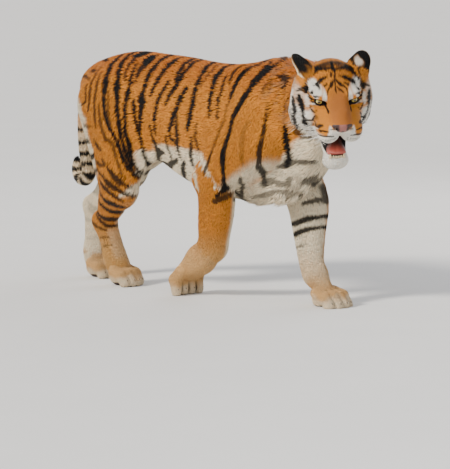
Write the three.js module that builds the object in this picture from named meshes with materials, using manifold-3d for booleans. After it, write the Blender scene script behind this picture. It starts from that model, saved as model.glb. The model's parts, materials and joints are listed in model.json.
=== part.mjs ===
// A walking tiger, life size, head turned to its right, mouth part open, right forepaw about to land.
// Millimetres: +X is forward, +Y is the animal's left, +Z is up, and the ground is z = 0.
//
// The body is one smooth field: rounded limbs and lumps melted into each other. A mesher turns the
// field into faceted solids, and thin flat cuts part them where a person would name the pieces.
import * as THREE from 'three';
import Module from 'manifold-3d';

const wasm = await Module();
wasm.setup();

// ---------------------------------------------------------------- driving dimensions
const GAP = 0.4; // width of every cut between two pieces
const REACH = 2500; // half size of the block that stands for one side of a cut
const GROUND = 0;

// The head has its own frame: x to the nose, y to its left, z to the crown, origin between the eyes.
const BETWEEN_EYES = [740, -164, 829];
const HEAD_TURN = -35; // degrees, to the animal's right
const HEAD_DOWN = 25; // degrees, the nose below level
const HEAD_ROLL = 2.5; // degrees, the left cheek raised
const EYE_CENTRE = [8, 66, 8]; // head frame, the left eye
const EYE_RADIUS = 17;

// Facet sizes along x, y and z: long on the plain trunk and along the limbs, small on face and feet.
const FACET = {
  trunk: [100, 64, 64],
  neck: [54, 54, 54],
  shoulder: [64, 52, 60],
  thigh: [56, 44, 56],
  limb: [34, 34, 54],
  footBones: [28, 28, 40],
  foot: [30, 26, 24],
  tail: [26, 26, 46],
  tailTip: [25, 25, 25],
  head: [30, 30, 30],
  jaw: [24, 24, 24],
  nose: [14, 14, 14],
  ear: [18, 18, 18],
  tongue: [17, 17, 17],
  tooth: [9, 9, 9],
};

// Coat colours of the pieces.
const COAT = {
  orange: 0xc8843f,
  pale: 0xe2d3bb,
  dark: 0x2b2320,
  nose: 0xb8776b,
  tongue: 0xb8534a,
  tooth: 0xe9dfc6,
  eye: 0xb9b26a,
};

// Stations along the trunk and neck: x, y, z, half height, half width.
const TRUNK = [
  [-690, 0, 800, 105, 112],
  [-600, 0, 790, 150, 150],
  [-480, 0, 785, 178, 168],
  [-350, 0, 762, 196, 172],
  [-220, 0, 722, 230, 184],
  [-60, 0, 678, 258, 196],
  [90, 0, 662, 272, 200],
  [220, 0, 672, 276, 190],
  [330, 0, 702, 252, 170],
  [410, -5, 735, 205, 140],
];
const NECK = [
  [330, 0, 770, 195, 150],
  [430, -15, 800, 170, 135],
  [520, -40, 815, 150, 128],
  [610, -78, 822, 135, 125],
];
const TAIL = [
  [-680, 0, 835, 62, 62],
  [-745, 0, 800, 49, 49],
  [-788, -4, 728, 39, 39],
  [-802, -8, 635, 33, 33],
  [-800, -6, 540, 31, 31],
  [-790, -2, 480, 31, 31],
  [-786, 2, 442, 31, 31],
  [-808, 6, 412, 30, 30],
  [-843, 8, 414, 29, 29],
  [-864, 10, 445, 27, 27],
  [-866, 10, 485, 21, 21],
];

// Forelegs from the elbow down: x, y, z, half depth, half width.
const FORELEG = {
  right: [
    [98, -158, 490, 88, 64],
    [86, -136, 390, 84, 66],
    [52, -112, 290, 76, 62],
    [20, -88, 205, 62, 55],
  ],
  left: [
    [250, 160, 480, 98, 80],
    [312, 150, 385, 92, 78],
    [355, 112, 270, 72, 60],
    [400, 74, 165, 55, 49],
    [435, 58, 118, 51, 49],
  ],
};
const SHOULDER = {
  right: { joint: [330, -150, 650], elbow: [85, -165, 490], point: [35, -168, 480] },
  left: { joint: [365, 150, 665], elbow: [215, 165, 470], point: [185, 165, 470] },
};
const HINDLEG = {
  right: { hip: [-525, -100, 735], knee: [-438, -158, 410], hock: [-602, -84, 256], ball: [-545, -64, 78] },
  left: { hip: [-535, 100, 755], knee: [-670, 122, 455], hock: [-832, 82, 290], ball: [-815, 62, 78] },
};

// Feet flat on the ground, and the right forepaw that hangs from its bent wrist, toes touching.
const PLANTED = {
  foreLeft: { wrist: [440, 56, 115], ball: [494, 50, 56], width: 126, toe: 90, heading: -4 },
  hindRight: { wrist: [-570, -66, 110], ball: [-533, -63, 64], width: 110, toe: 74, heading: 2 },
  hindLeft: { wrist: [-820, 64, 110], ball: [-796, 60, 64], width: 110, toe: 74, heading: 4 },
};
const BENT_WRIST = [20, -88, 205];
const BENT_BALL = [-106, -84, 102];
const TOES = [-1.5, -0.5, 0.5, 1.5]; // four toes, counted across the foot

// ---------------------------------------------------------------- small helpers
const SIDES = { right: -1, left: 1 };
const vec = (p) => new THREE.Vector3(...p);
const mix = (a, b, t) => a.map((v, i) => v + (b[i] - v) * t);
const plus = (a, b) => a.map((v, i) => v + b[i]);
const rad = THREE.MathUtils.degToRad;

// A turn: about z, then about y with a positive pitch raising the x axis, then about x.
function turn(yaw, pitch = 0, roll = 0) {
  const m = new THREE.Matrix4().makeRotationZ(rad(yaw));
  m.multiply(new THREE.Matrix4().makeRotationY(rad(-pitch)));
  m.multiply(new THREE.Matrix4().makeRotationX(rad(roll)));
  return m;
}
const HEAD = turn(HEAD_TURN, -HEAD_DOWN, HEAD_ROLL).setPosition(...BETWEEN_EYES);
const inHead = (p) => vec(p).applyMatrix4(HEAD).toArray();
const headTurn = (m) => turn(HEAD_TURN, -HEAD_DOWN, HEAD_ROLL).multiply(m);

// ---------------------------------------------------------------- forms that make the field
// A rounded limb from a to b. wa and wb are its width along `side` over its depth, at each end.
function limb(a, b, ra, rb, blend = 40, wa = 1, wb = 1, side = [0, 1, 0]) {
  const along = vec(b).sub(vec(a));
  const length2 = Math.max(along.lengthSq(), 1e-9);
  const u = vec(side).normalize();
  const distance = (x, y, z) => {
    const p = [x - a[0], y - a[1], z - a[2]];
    const dot = p[0] * along.x + p[1] * along.y + p[2] * along.z;
    const t = THREE.MathUtils.clamp(dot / length2, 0, 1);
    const q = [p[0] - t * along.x, p[1] - t * along.y, p[2] - t * along.z];
    const w = wa + (wb - wa) * t;
    const s = q[0] * u.x + q[1] * u.y + q[2] * u.z;
    const r2 = q[0] * q[0] + q[1] * q[1] + q[2] * q[2] + s * s * (1 / (w * w) - 1);
    return Math.sqrt(Math.max(r2, 0)) - (ra + (rb - ra) * t);
  };
  return { distance, blend };
}

// An ellipsoid with half axes r, turned by the matrix m. With cut it hollows the field out.
function lump(centre, r, blend = 40, m = new THREE.Matrix4(), cut = false) {
  const e = m.elements;
  const distance = (x, y, z) => {
    const p = [x - centre[0], y - centre[1], z - centre[2]];
    let k0 = 0;
    let k1 = 0;
    for (let i = 0; i < 3; i += 1) {
      const local = p[0] * e[4 * i] + p[1] * e[4 * i + 1] + p[2] * e[4 * i + 2];
      k0 += (local / r[i]) ** 2;
      k1 += (local / r[i] ** 2) ** 2;
    }
    return (Math.sqrt(k0) * (Math.sqrt(k0) - 1)) / Math.max(Math.sqrt(k1), 1e-9);
  };
  return { distance, blend, cut };
}

// A run of limbs along a smooth curve through the stations.
function chain(stations, blend, innerBlend = 6, steps = 3) {
  const path = new THREE.CatmullRomCurve3(stations.map((s) => vec(s)), false, 'catmullrom', 0.5);
  const girth = stations.map((s) => new THREE.Vector3(s[3], s[4], 0));
  const size = new THREE.CatmullRomCurve3(girth, false, 'catmullrom', 0.5);
  const pieces = (stations.length - 1) * steps;
  const forms = [];
  for (let i = 0; i < pieces; i += 1) {
    const a = path.getPoint(i / pieces).toArray();
    const b = path.getPoint((i + 1) / pieces).toArray();
    const ga = size.getPoint(i / pieces);
    const gb = size.getPoint((i + 1) / pieces);
    forms.push(limb(a, b, ga.x, gb.x, i === 0 ? blend : innerBlend, ga.y / ga.x, gb.y / gb.x));
  }
  return forms;
}

// Melts one more form into the distance so far, or hollows it with a rounded edge.
function melt(sofar, form, x, y, z) {
  const d = form.distance(x, y, z);
  const k = form.blend;
  if (form.cut) {
    const h = Math.max(k - Math.abs(sofar + d), 0) / k;
    return Math.max(sofar, -d) + (h * h * k) / 4;
  }
  const h = Math.max(k - Math.abs(sofar - d), 0) / k;
  return Math.min(sofar, d) - (h * h * k) / 4;
}
const fieldOf = (forms) => (x, y, z) => forms.reduce((f, form) => melt(f, form, x, y, z), 1000);

// ---------------------------------------------------------------- the body's forms, by region
const body = {};

body.trunk = chain(TRUNK, 30);
body.neck = chain(NECK, 60);
// The long hair of the breast hangs below and ahead of the chest.
body.breast = [
  lump([420, 0, 600], [115, 120, 150], 60),
  lump([330, 0, 500], [120, 110, 120], 50),
  lump([205, 0, 480], [110, 92, 114], 50),
];

function shoulder(sign, { joint, elbow }) {
  const top = [joint[0] - 145, sign * 95, 875];
  const spine = [joint[0] - 40, sign * 135, 720];
  return [
    limb(top, spine, 62, 105, 60, 0.6, 0.6),
    limb(spine, joint, 105, 98, 60, 0.62, 0.7),
    limb(joint, elbow, 98, 76, 50, 0.75, 0.75),
    lump([joint[0] - 150, sign * 150, 620], [110, 60, 120], 60),
  ];
}
for (const [side, sign] of Object.entries(SIDES)) {
  body[`shoulder_${side}`] = shoulder(sign, SHOULDER[side]);
  body[`foreleg_${side}`] = [
    ...chain(FORELEG[side], 30),
    lump(SHOULDER[side].point, [47, 40, 52], 30),
  ];
}

// Thigh, hamstrings, the muscle above the knee, shank, heel and the long bones of the foot.
function hindleg(sign, { hip, knee, hock, ball }, bulk) {
  const calf = plus(mix(knee, hock, 0.5), [-5, 0, 5]);
  const seat = plus(hip, [-75, sign * 5, -10]);
  const seatEnd = plus(mix(knee, hock, 0.45), [0, 0, 55]);
  return [
    limb(hip, knee, 150, 82, 60, 0.66, 0.72),
    limb(seat, seatEnd, 118, 70, 60, 0.62, 0.6),
    limb(plus(hip, [70, sign * 20, -40]), plus(knee, [10, 0, 10]), bulk, 70, 60, 0.6, 0.62),
    limb(knee, calf, 74, 58, 40, 0.72, 0.75),
    limb(calf, hock, 62, 48, 30, 0.75, 0.8),
    lump(plus(hock, [-40, 0, 6]), [32, 26, 36], 25),
    limb(hock, ball, 52, 46, 30, 0.85, 1.0),
  ];
}
body.hindleg_right = hindleg(SIDES.right, HINDLEG.right, 110);
body.hindleg_left = hindleg(SIDES.left, HINDLEG.left, 80);
// The loose fold of skin from the flank to the knee.
body.flank_right = [limb([-320, -115, 570], [-380, -140, 500], 60, 50, 60, 0.5, 0.5)];
body.flank_left = [limb([-420, 120, 570], [-540, 125, 520], 60, 50, 60, 0.5, 0.5)];

// One toe: a knuckle that rises from the ball and a rounded tip on the ground.
function toe(base, knuckle, tip, tipRadius) {
  return [limb(base, knuckle, 27, 28, 10), limb(knuckle, tip, 28, tipRadius, 9)];
}
function plantedPaw({ wrist, ball, width, toe: reach, heading }) {
  const ahead = [Math.cos(rad(heading)), Math.sin(rad(heading)), 0];
  const across = [-ahead[1], ahead[0], 0];
  const at = (along, aside, up) => {
    const place = ahead.map((v, i) => ball[i] + v * along + across[i] * aside);
    return plus(place, [0, 0, up]);
  };
  const forms = [
    limb(wrist, ball, 44, 40, 30),
    lump(at(2, 0, -30), [52, width * 0.45, 38], 20, turn(heading)),
  ];
  for (const t of TOES) {
    const long = reach * (Math.abs(t) > 1 ? 0.84 : 1);
    const aside = t * width * 0.235;
    const knuckle = at(long * 0.62, aside + t * 2, -18);
    forms.push(...toe(at(0, aside, -4), knuckle, at(long, aside + t * 3, -44), 23));
  }
  return forms;
}
function bentPaw() {
  const middle = mix(BENT_WRIST, BENT_BALL, 0.55);
  const forms = [
    limb(BENT_WRIST, middle, 58, 60, 30, 0.92, 1.0),
    limb(middle, BENT_BALL, 60, 48, 25, 1.0, 1.4),
  ];
  for (const t of TOES) {
    const base = plus(BENT_BALL, [-2, t * 38, -4]);
    const knuckle = plus(base, [-34 + Math.abs(t) * 4, t * 2, -34]);
    const tip = [knuckle[0] + 8, knuckle[1] + t * 2, 20];
    forms.push(...toe(base, knuckle, tip, 23));
  }
  return forms;
}
body.forepaw_left = plantedPaw(PLANTED.foreLeft);
body.hindpaw_right = plantedPaw(PLANTED.hindRight);
body.hindpaw_left = plantedPaw(PLANTED.hindLeft);
body.forepaw_right = bentPaw();
body.tail = chain(TAIL, 40, 8);

// ---------------------------------------------------------------- the head, in its own frame
const level = headTurn(new THREE.Matrix4());
const headAcross = vec([0, 1, 0]).applyMatrix4(turn(HEAD_TURN, -HEAD_DOWN, HEAD_ROLL)).toArray();
const headLump = (c, r, blend, m = level, cut = false) => lump(inHead(c), r, blend, m, cut);
const headLimb = (a, b, ra, rb, blend, wa = 1, wb = 1) =>
  limb(inHead(a), inHead(b), ra, rb, blend, wa, wb, headAcross);

body.head = [
  headLump([-98, 0, 24], [102, 104, 94], 40), // braincase
  headLump([-34, 0, 12], [70, 84, 58], 40), // forehead
  headLimb([-30, 0, 0], [94, 0, -20], 60, 42, 30), // bridge of the nose
  headLump([120, 0, -38], [34, 42, 30], 16), // tip of the nose
];
for (const s of Object.values(SIDES)) {
  body.head.push(
    headLump([94, s * 43, -76], [52, 46, 50], 16), // whisker pad
    headLump([46, s * 54, -60], [58, 36, 50], 25), // side of the muzzle
    headLimb([14, s * 66, -30], [-70, s * 104, -18], 34, 50, 30), // cheekbone
    headLump([-62, s * 94, -50], [86, 58, 90], 40), // jaw muscle
    headLump([-82, s * 112, -84], [62, 52, 92], 40), // cheek ruff
    headLump([-92, s * 106, 26], [52, 42, 58], 36), // side of the head below the ear
    headLump([2, s * 54, 34], [30, 34, 18], 16), // brow
    headLump([35, s * 69, 6], [22, 26, 15], 16, level, true), // hollow of the eye
  );
}
body.jaw = [
  headLimb([-70, 0, -112], [54, 0, -213], 68, 42, 30, 1.05, 1.15),
  headLump([60, 0, -232], [38, 54, 38], 22), // chin
  headLump([-110, 0, -110], [100, 104, 120], 50), // throat
];
const MOUTH_TILT = -16;
const MOUTH_CENTRE = [86, 0, -158];
body.mouth = [headLump(MOUTH_CENTRE, [88, 58, 34], 10, headTurn(turn(0, MOUTH_TILT)), true)];

// The tongue lies in the lower jaw, behind the two canines and the row of small front teeth.
body.tongue = [headLimb([8, 0, -166], [68, 0, -191], 16, 11, 10, 1.7, 3.4)];
const CANINE = 26; // half the distance between the lower canines
const TONGUE_LOW = 8; // twice how far the tongue and teeth stay below the middle of the mouth
body.teeth = [
  headLimb([86, -CANINE, -199], [86, CANINE, -199], 8, 8, 4),
  headLimb([86, -CANINE, -202], [91, -CANINE - 1, -178], 9, 4, 4),
  headLimb([86, CANINE, -202], [91, CANINE + 1, -178], 9, 4, 4),
];

// Each ear is a cup: an outer lump hollowed by an inner one, its open side turned back or out.
const EARS = {
  right: { centre: [-108, -118, 98], pose: turn(68).multiply(turn(0, 42)) },
  left: { centre: [-110, 116, 98], pose: turn(-44, 0, -22) },
};
const EAR_SIZE = [24, 40, 54];
const EAR_HOLLOW = [22, 31, 45];
const EAR_BASE = [22, 46, 34]; // the ear broadens where it grows from the head
for (const [side, ear] of Object.entries(EARS)) {
  ear.frame = headTurn(ear.pose.clone()).setPosition(...inHead(ear.centre));
  const hollow = vec([-20, 0, 10]).applyMatrix4(ear.frame).toArray();
  const base = vec([2, 0, -30]).applyMatrix4(ear.frame).toArray();
  body[`ear_${side}`] = [
    lump(inHead(ear.centre), EAR_SIZE, 20, ear.frame),
    lump(base, EAR_BASE, 26, ear.frame),
  ];
  body[`ear_hollow_${side}`] = [lump(hollow, EAR_HOLLOW, 6, ear.frame, true)];
}

// ---------------------------------------------------------------- from the field to a solid
// Surface nets: one vertex in each cell that the surface crosses, one quad on each crossed edge.
function netMesh(field, low, high, cell) {
  const n = low.map((v, i) => Math.ceil((high[i] - v) / cell[i]) + 1);
  const fine = Math.min(...cell);
  const at = (i, j, k) => (i * n[1] + j) * n[2] + k;
  const value = new Float32Array(n[0] * n[1] * n[2]);
  for (let i = 0; i < n[0]; i += 1) {
    for (let j = 0; j < n[1]; j += 1) {
      for (let k = 0; k < n[2]; k += 1) {
        const rim = i * j * k === 0 || i === n[0] - 1 || j === n[1] - 1 || k === n[2] - 1;
        const f = field(low[0] + i * cell[0], low[1] + j * cell[1], low[2] + k * cell[2]);
        value[at(i, j, k)] = rim ? Math.max(f, fine / 2) : f;
      }
    }
  }
  fillCrossings(value, n, at, -fine / 20);
  const vertexOf = new Map();
  const points = [];
  const corner = [0, 1, 2, 3, 4, 5, 6, 7].map((c) => [(c >> 2) & 1, (c >> 1) & 1, c & 1]);
  for (let i = 0; i < n[0] - 1; i += 1) {
    for (let j = 0; j < n[1] - 1; j += 1) {
      for (let k = 0; k < n[2] - 1; k += 1) {
        const sum = [0, 0, 0];
        let crossings = 0;
        for (const a of corner) {
          for (let d = 0; d < 3; d += 1) {
            if (a[d]) continue;
            const b = [...a];
            b[d] = 1;
            const fa = value[at(i + a[0], j + a[1], k + a[2])];
            const fb = value[at(i + b[0], j + b[1], k + b[2])];
            if (fa < 0 === fb < 0) continue;
            const t = fa / (fa - fb);
            for (let e = 0; e < 3; e += 1) sum[e] += a[e] + (b[e] - a[e]) * t;
            crossings += 1;
          }
        }
        if (crossings === 0) continue;
        vertexOf.set(at(i, j, k), points.length);
        const inCell = sum.map((v) => v / crossings);
        points.push([i, j, k].map((v, e) => low[e] + (v + inCell[e]) * cell[e]));
      }
    }
  }
  const quads = [];
  const step = [n[1] * n[2], n[2], 1];
  for (let d = 0; d < 3; d += 1) {
    const [e, g] = [step[(d + 1) % 3], step[(d + 2) % 3]];
    const first = [0, 1, 2].map((axis) => (axis === d ? 0 : 1));
    for (let i = first[0]; i < n[0] - 1; i += 1) {
      for (let j = first[1]; j < n[1] - 1; j += 1) {
        for (let k = first[2]; k < n[2] - 1; k += 1) {
          const here = at(i, j, k);
          const inside = value[here] < 0;
          if (inside === value[here + step[d]] < 0) continue;
          const ring = [here - e - g, here - g, here, here - e].map((c) => vertexOf.get(c));
          quads.push(inside ? ring : ring.reverse());
        }
      }
    }
  }
  settle(points, field, fine);
  return { points, quads };
}

// Where a cell's face has its corners in and out by turns, the surface would cross itself on that
// face. Such a face is filled, which closes a crevice that is narrower than a cell.
function fillCrossings(value, n, at, filledTo) {
  const step = [n[1] * n[2], n[2], 1];
  let filled = true;
  while (filled) {
    filled = false;
    for (let i = 0; i < n[0] - 1; i += 1) {
      for (let j = 0; j < n[1] - 1; j += 1) {
        for (let k = 0; k < n[2] - 1; k += 1) {
          for (let d = 0; d < 3; d += 1) {
            const [e, g] = [step[(d + 1) % 3], step[(d + 2) % 3]];
            const here = at(i, j, k);
            const face = [here, here + e, here + e + g, here + g];
            const inside = face.map((c) => value[c] < 0);
            if (inside[0] !== inside[2] || inside[1] !== inside[3] || inside[0] === inside[1]) continue;
            for (const c of face) value[c] = Math.min(value[c], filledTo);
            filled = true;
          }
        }
      }
    }
  }
}

// Moves each vertex onto the surface itself, along the field's slope, in short steps.
function settle(points, field, cell) {
  const e = 1;
  const longest = cell * 0.4;
  for (const p of points) {
    for (let pass = 0; pass < 4; pass += 1) {
      const f = field(...p);
      if (Math.abs(f) > cell * 1.6) break;
      const slope = [0, 1, 2].map((i) => {
        const above = [...p];
        const below = [...p];
        above[i] += e;
        below[i] -= e;
        return (field(...above) - field(...below)) / (2 * e);
      });
      const steep = Math.max(Math.hypot(...slope), 0.6);
      const step = THREE.MathUtils.clamp(f / steep, -longest, longest);
      for (let i = 0; i < 3; i += 1) p[i] -= (slope[i] / steep) * step;
    }
  }
}

// Splits each quad along its shorter diagonal and hands the closed mesh over as a solid.
function netSolid(forms, low, high, cell) {
  const { points, quads } = netMesh(fieldOf(forms), low, high, cell);
  const apart = (a, b) => Math.hypot(...points[a].map((v, i) => v - points[b][i]));
  const faces = [];
  for (const [a, b, c, d] of quads) {
    if (apart(a, c) < apart(b, d)) faces.push(a, b, c, a, c, d);
    else faces.push(a, b, d, b, c, d);
  }
  return solidFrom(new Float32Array(points.flat()), new Uint32Array(faces));
}
function solidFrom(vertProperties, triVerts) {
  return new wasm.Manifold(new wasm.Mesh({ numProp: 3, vertProperties, triVerts }));
}

// ---------------------------------------------------------------- cuts
// A three.js geometry as a solid: equal corners are merged by their rounded coordinates.
function solidOf(geometry, matrix) {
  const source = geometry.clone().applyMatrix4(matrix);
  const position = source.attributes.position;
  const index = source.index.array;
  const seen = new Map();
  const vertices = [];
  const mergedOf = [];
  for (let i = 0; i < position.count; i += 1) {
    const p = [position.getX(i), position.getY(i), position.getZ(i)];
    const key = p.map((v) => Math.round(v * 1000)).join();
    if (!seen.has(key)) {
      seen.set(key, seen.size);
      vertices.push(...p);
    }
    mergedOf.push(seen.get(key));
  }
  const faces = [];
  for (let i = 0; i < index.length; i += 3) {
    const face = [mergedOf[index[i]], mergedOf[index[i + 1]], mergedOf[index[i + 2]]];
    if (new Set(face).size === 3) faces.push(...face);
  }
  return solidFrom(new Float32Array(vertices), new Uint32Array(faces));
}

// A plane through a point. ahead() keeps the side its normal points to, behind() the other.
const plane = (point, normal) => ({ point: vec(point), normal: vec(normal).normalize() });
function halfSpace({ point, normal }, sign, gap) {
  const centre = point.clone().addScaledVector(normal, sign * (REACH + gap / 2));
  const facing = new THREE.Quaternion().setFromUnitVectors(new THREE.Vector3(0, 0, 1), normal);
  const place = new THREE.Matrix4().compose(centre, facing, new THREE.Vector3(1, 1, 1));
  return solidOf(new THREE.BoxGeometry(2 * REACH, 2 * REACH, 2 * REACH), place);
}
const ahead = (cut, gap = GAP) => halfSpace(cut, 1, gap);
const behind = (cut, gap = GAP) => halfSpace(cut, -1, gap);

// A block between two corners of a frame, grown by `grow` on every side.
function block(low, high, grow = 0, frame = new THREE.Matrix4()) {
  const size = high.map((v, i) => v - low[i] + 2 * grow);
  const place = frame.clone().multiply(new THREE.Matrix4().makeTranslation(...mix(low, high, 0.5)));
  return solidOf(new THREE.BoxGeometry(...size), place);
}
// A piece keeps its own block shrunk by half the gap; its neighbour loses the block grown by half.
const own = (b) => block(b.low, b.high, -GAP / 2, b.frame);
const lost = (b) => block(b.low, b.high, GAP / 2, b.frame);

const CUT = {
  ground: plane([0, 0, GROUND], [0, 0, 1]),
  middle: plane([0, 0, 0], [0, 1, 0]),
  neckBase: plane([420, 0, 780], [0.8, 0, 0.6]),
  headBack: plane(inHead([-150, 0, 0]), vec(inHead([1, 0, 0])).sub(vec(BETWEEN_EYES)).toArray()),
  chestBack: plane([-60, 0, 0], [1, 0, 0]),
  rumpFront: plane([-330, 0, 0], [1, 0, 0]),
  thighTop: plane([-480, 0, 580], [0.435, 0, 1]),
  thighFront: plane([-262, 0, 0], [1, 0, 0]),
  elbow: plane([0, 0, 385], [0, 0, 1]),
  kneeRight: plane([0, 0, 385], [0, 0, 1]),
  kneeLeft: plane([0, 0, 425], [0, 0, 1]),
  hockRight: plane([0, 0, 225], [0, 0, 1]),
  hockLeft: plane([0, 0, 235], [0, 0, 1]),
  ankle: plane([0, 0, 108], [0, 0, 1]),
  wristRight: plane([0, 0, 215], [0, 0, 1]),
  wristLeft: plane([0, 0, 135], [0, 0, 1]),
  tailUpper: plane([0, 0, 590], [0, 0, 1]),
};
const BLOCK = {
  shoulder_right: { low: [-40, -400, 385], high: [400, -92, 750] },
  shoulder_left: { low: [60, 70, 385], high: [430, 400, 750] },
  tail: { low: [-1100, -60, 340], high: [-740, 45, 735] },
  tailTip: { low: [-1000, -60, 340], high: [-834, 60, 520] },
  jaw: { low: [-70, -80, -400], high: [220, 80, -50], frame: HEAD },
  nose: { low: [129, -40, -68], high: [200, 40, -18], frame: HEAD },
  ear_right: { low: [-80, -80, -30], high: [80, 80, 100], frame: EARS.right.frame },
  ear_left: { low: [-80, -80, -30], high: [80, 80, 100], frame: EARS.left.frame },
};
// The jaw also stays below the middle of the open mouth.
const mouthPlane = plane(
  inHead(MOUTH_CENTRE),
  vec([0, 0, 1]).applyMatrix4(headTurn(turn(0, MOUTH_TILT))).toArray(),
);

// ---------------------------------------------------------------- the pieces
const tiger = new THREE.Group();
tiger.name = 'tiger';

function addPiece(name, colour, solid, roughness = 0.85) {
  const { vertProperties, triVerts } = solid.getMesh();
  const geometry = new THREE.BufferGeometry();
  geometry.setAttribute('position', new THREE.BufferAttribute(new Float32Array(vertProperties), 3));
  geometry.setIndex(new THREE.BufferAttribute(new Uint32Array(triVerts), 1));
  geometry.computeVertexNormals();
  const material = new THREE.MeshStandardMaterial({ color: colour, roughness, metalness: 0 });
  const mesh = new THREE.Mesh(geometry, material);
  mesh.name = name;
  tiger.add(mesh);
}

// Meshes the named regions between two corners, then keeps and loses the given blocks and sides.
function flesh(regions, low, high, facet, keep, lose = []) {
  const forms = regions.flatMap((r) => body[r]);
  let solid = netSolid(forms, low, high, facet);
  for (const k of keep) solid = solid.intersect(k);
  for (const l of lose) solid = solid.subtract(l);
  return solid;
}

const torso = ['trunk', 'neck', 'breast', 'shoulder_right', 'shoulder_left'];
const allForelegs = ['foreleg_right', 'foreleg_left'];
const allHindlegs = ['hindleg_right', 'hindleg_left', 'flank_right', 'flank_left'];
const skull = ['neck', 'head', 'jaw', 'mouth'];

// Trunk and neck
addPiece('rump', COAT.orange, flesh(
  ['trunk', ...allHindlegs, 'tail'], [-860, -300, 430], [-280, 300, 1040], FACET.trunk,
  [behind(CUT.rumpFront), ahead(CUT.thighTop)], [lost(BLOCK.tail)],
));
addPiece('barrel', COAT.orange, flesh(
  ['trunk', 'shoulder_right', 'shoulder_left', ...allHindlegs], [-430, -330, 330], [40, 330, 1040],
  FACET.trunk, [ahead(CUT.rumpFront), behind(CUT.chestBack), ahead(CUT.thighTop)],
));
addPiece('chest', COAT.orange, flesh(
  [...torso, ...allForelegs], [-150, -330, 300], [660, 330, 1040], FACET.trunk,
  [ahead(CUT.chestBack), behind(CUT.neckBase), ahead(CUT.elbow)],
  [lost(BLOCK.shoulder_right), lost(BLOCK.shoulder_left)],
));
addPiece('neck', COAT.orange, flesh(
  [...torso, 'head', 'jaw'], [250, -330, 520], [760, 280, 1060], FACET.neck,
  [ahead(CUT.neckBase), behind(CUT.headBack)], [lost(BLOCK.ear_right), lost(BLOCK.ear_left)],
));

// Legs
for (const side of Object.keys(SIDES)) {
  const half = side === 'right' ? behind(CUT.middle) : ahead(CUT.middle);
  const fore = HINDLEG[side].knee[0] + 160;
  const back = HINDLEG[side].hock[0] - 123;
  const outer = side === 'right' ? [-320, 40] : [-40, 320];
  const knee = side === 'right' ? CUT.kneeRight : CUT.kneeLeft;
  const hock = side === 'right' ? CUT.hockRight : CUT.hockLeft;
  const wrist = side === 'right' ? CUT.wristRight : CUT.wristLeft;
  const leg = [`hindleg_${side}`, `flank_${side}`];
  const foot = [`hindleg_${side}`, `hindpaw_${side}`];
  const hindBox = (z0, z1) => [[back, outer[0], z0], [fore, outer[1], z1]];
  const elbowX = FORELEG[side][0][0];
  const foreBox = (z0, z1) => [[elbowX - 290, outer[0] - 10, z0], [elbowX + 330, outer[1] + 10, z1]];

  addPiece(`shoulder_${side}`, COAT.orange, flesh(
    [...torso, `foreleg_${side}`], ...foreBox(310, 830), FACET.shoulder,
    [own(BLOCK[`shoulder_${side}`])],
  ));
  addPiece(`forearm_${side}`, COAT.orange, flesh(
    [`shoulder_${side}`, `foreleg_${side}`, `forepaw_${side}`], ...foreBox(90, 460), FACET.limb,
    [half, behind(CUT.elbow), ahead(wrist)],
  ));
  addPiece(`forepaw_${side}`, COAT.orange, flesh(
    [`foreleg_${side}`, `forepaw_${side}`], ...foreBox(-40, 270), FACET.foot,
    [half, behind(wrist), ahead(CUT.ground, 0)],
  ));
  addPiece(`thigh_${side}`, COAT.orange, flesh(
    ['trunk', ...leg], [back, outer[0], 330], [-180, outer[1], 760], FACET.thigh,
    [half, behind(CUT.thighTop), behind(CUT.thighFront), ahead(knee)],
  ));
  addPiece(`shank_${side}`, COAT.orange, flesh(
    leg, ...hindBox(180, 490), FACET.limb, [half, behind(knee), ahead(hock)],
  ));
  addPiece(`metatarsus_${side}`, COAT.orange, flesh(
    foot, ...hindBox(60, 290), FACET.footBones, [half, behind(hock), ahead(CUT.ankle)],
  ));
  addPiece(`hindpaw_${side}`, COAT.orange, flesh(
    foot, ...hindBox(-40, 160), FACET.foot, [half, behind(CUT.ankle), ahead(CUT.ground, 0)],
  ));
}

// Tail
const tailBox = [[-960, -110, 340], [-700, 110, 790]];
addPiece('tail_upper', COAT.orange, flesh(
  ['trunk', 'tail'], ...tailBox, FACET.tail, [own(BLOCK.tail), ahead(CUT.tailUpper)],
));
addPiece('tail_lower', COAT.pale, flesh(
  ['tail'], ...tailBox, FACET.tail, [own(BLOCK.tail), behind(CUT.tailUpper)], [lost(BLOCK.tailTip)],
));
addPiece('tail_tip', COAT.dark, flesh(
  ['tail'], ...tailBox, FACET.tailTip, [own(BLOCK.tailTip)],
));

// Head
const headBox = [[440, -480, 480], [1000, 160, 1080]];
const eyeSolid = (sign, radius) => {
  const centre = inHead([EYE_CENTRE[0], sign * EYE_CENTRE[1], EYE_CENTRE[2]]);
  const place = new THREE.Matrix4().setPosition(...centre);
  return solidOf(new THREE.SphereGeometry(radius, 12, 7), place);
};
const jawSolid = flesh(skull, ...headBox, FACET.jaw, [own(BLOCK.jaw), behind(mouthPlane)]);
const jawRoom = lost(BLOCK.jaw).intersect(behind(mouthPlane, -GAP));
addPiece('head', COAT.orange, flesh(
  [...skull, 'ear_right', 'ear_left'], ...headBox, FACET.head,
  [ahead(CUT.headBack), ahead(CUT.neckBase)],
  [jawRoom, lost(BLOCK.nose), lost(BLOCK.ear_right), lost(BLOCK.ear_left),
    eyeSolid(-1, EYE_RADIUS + GAP), eyeSolid(1, EYE_RADIUS + GAP)],
));
addPiece('lower_jaw', COAT.pale, jawSolid);
const mouthBox = [-130, 100].map((reach) => inHead([50, 0, -160]).map((v) => v + reach));
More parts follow.
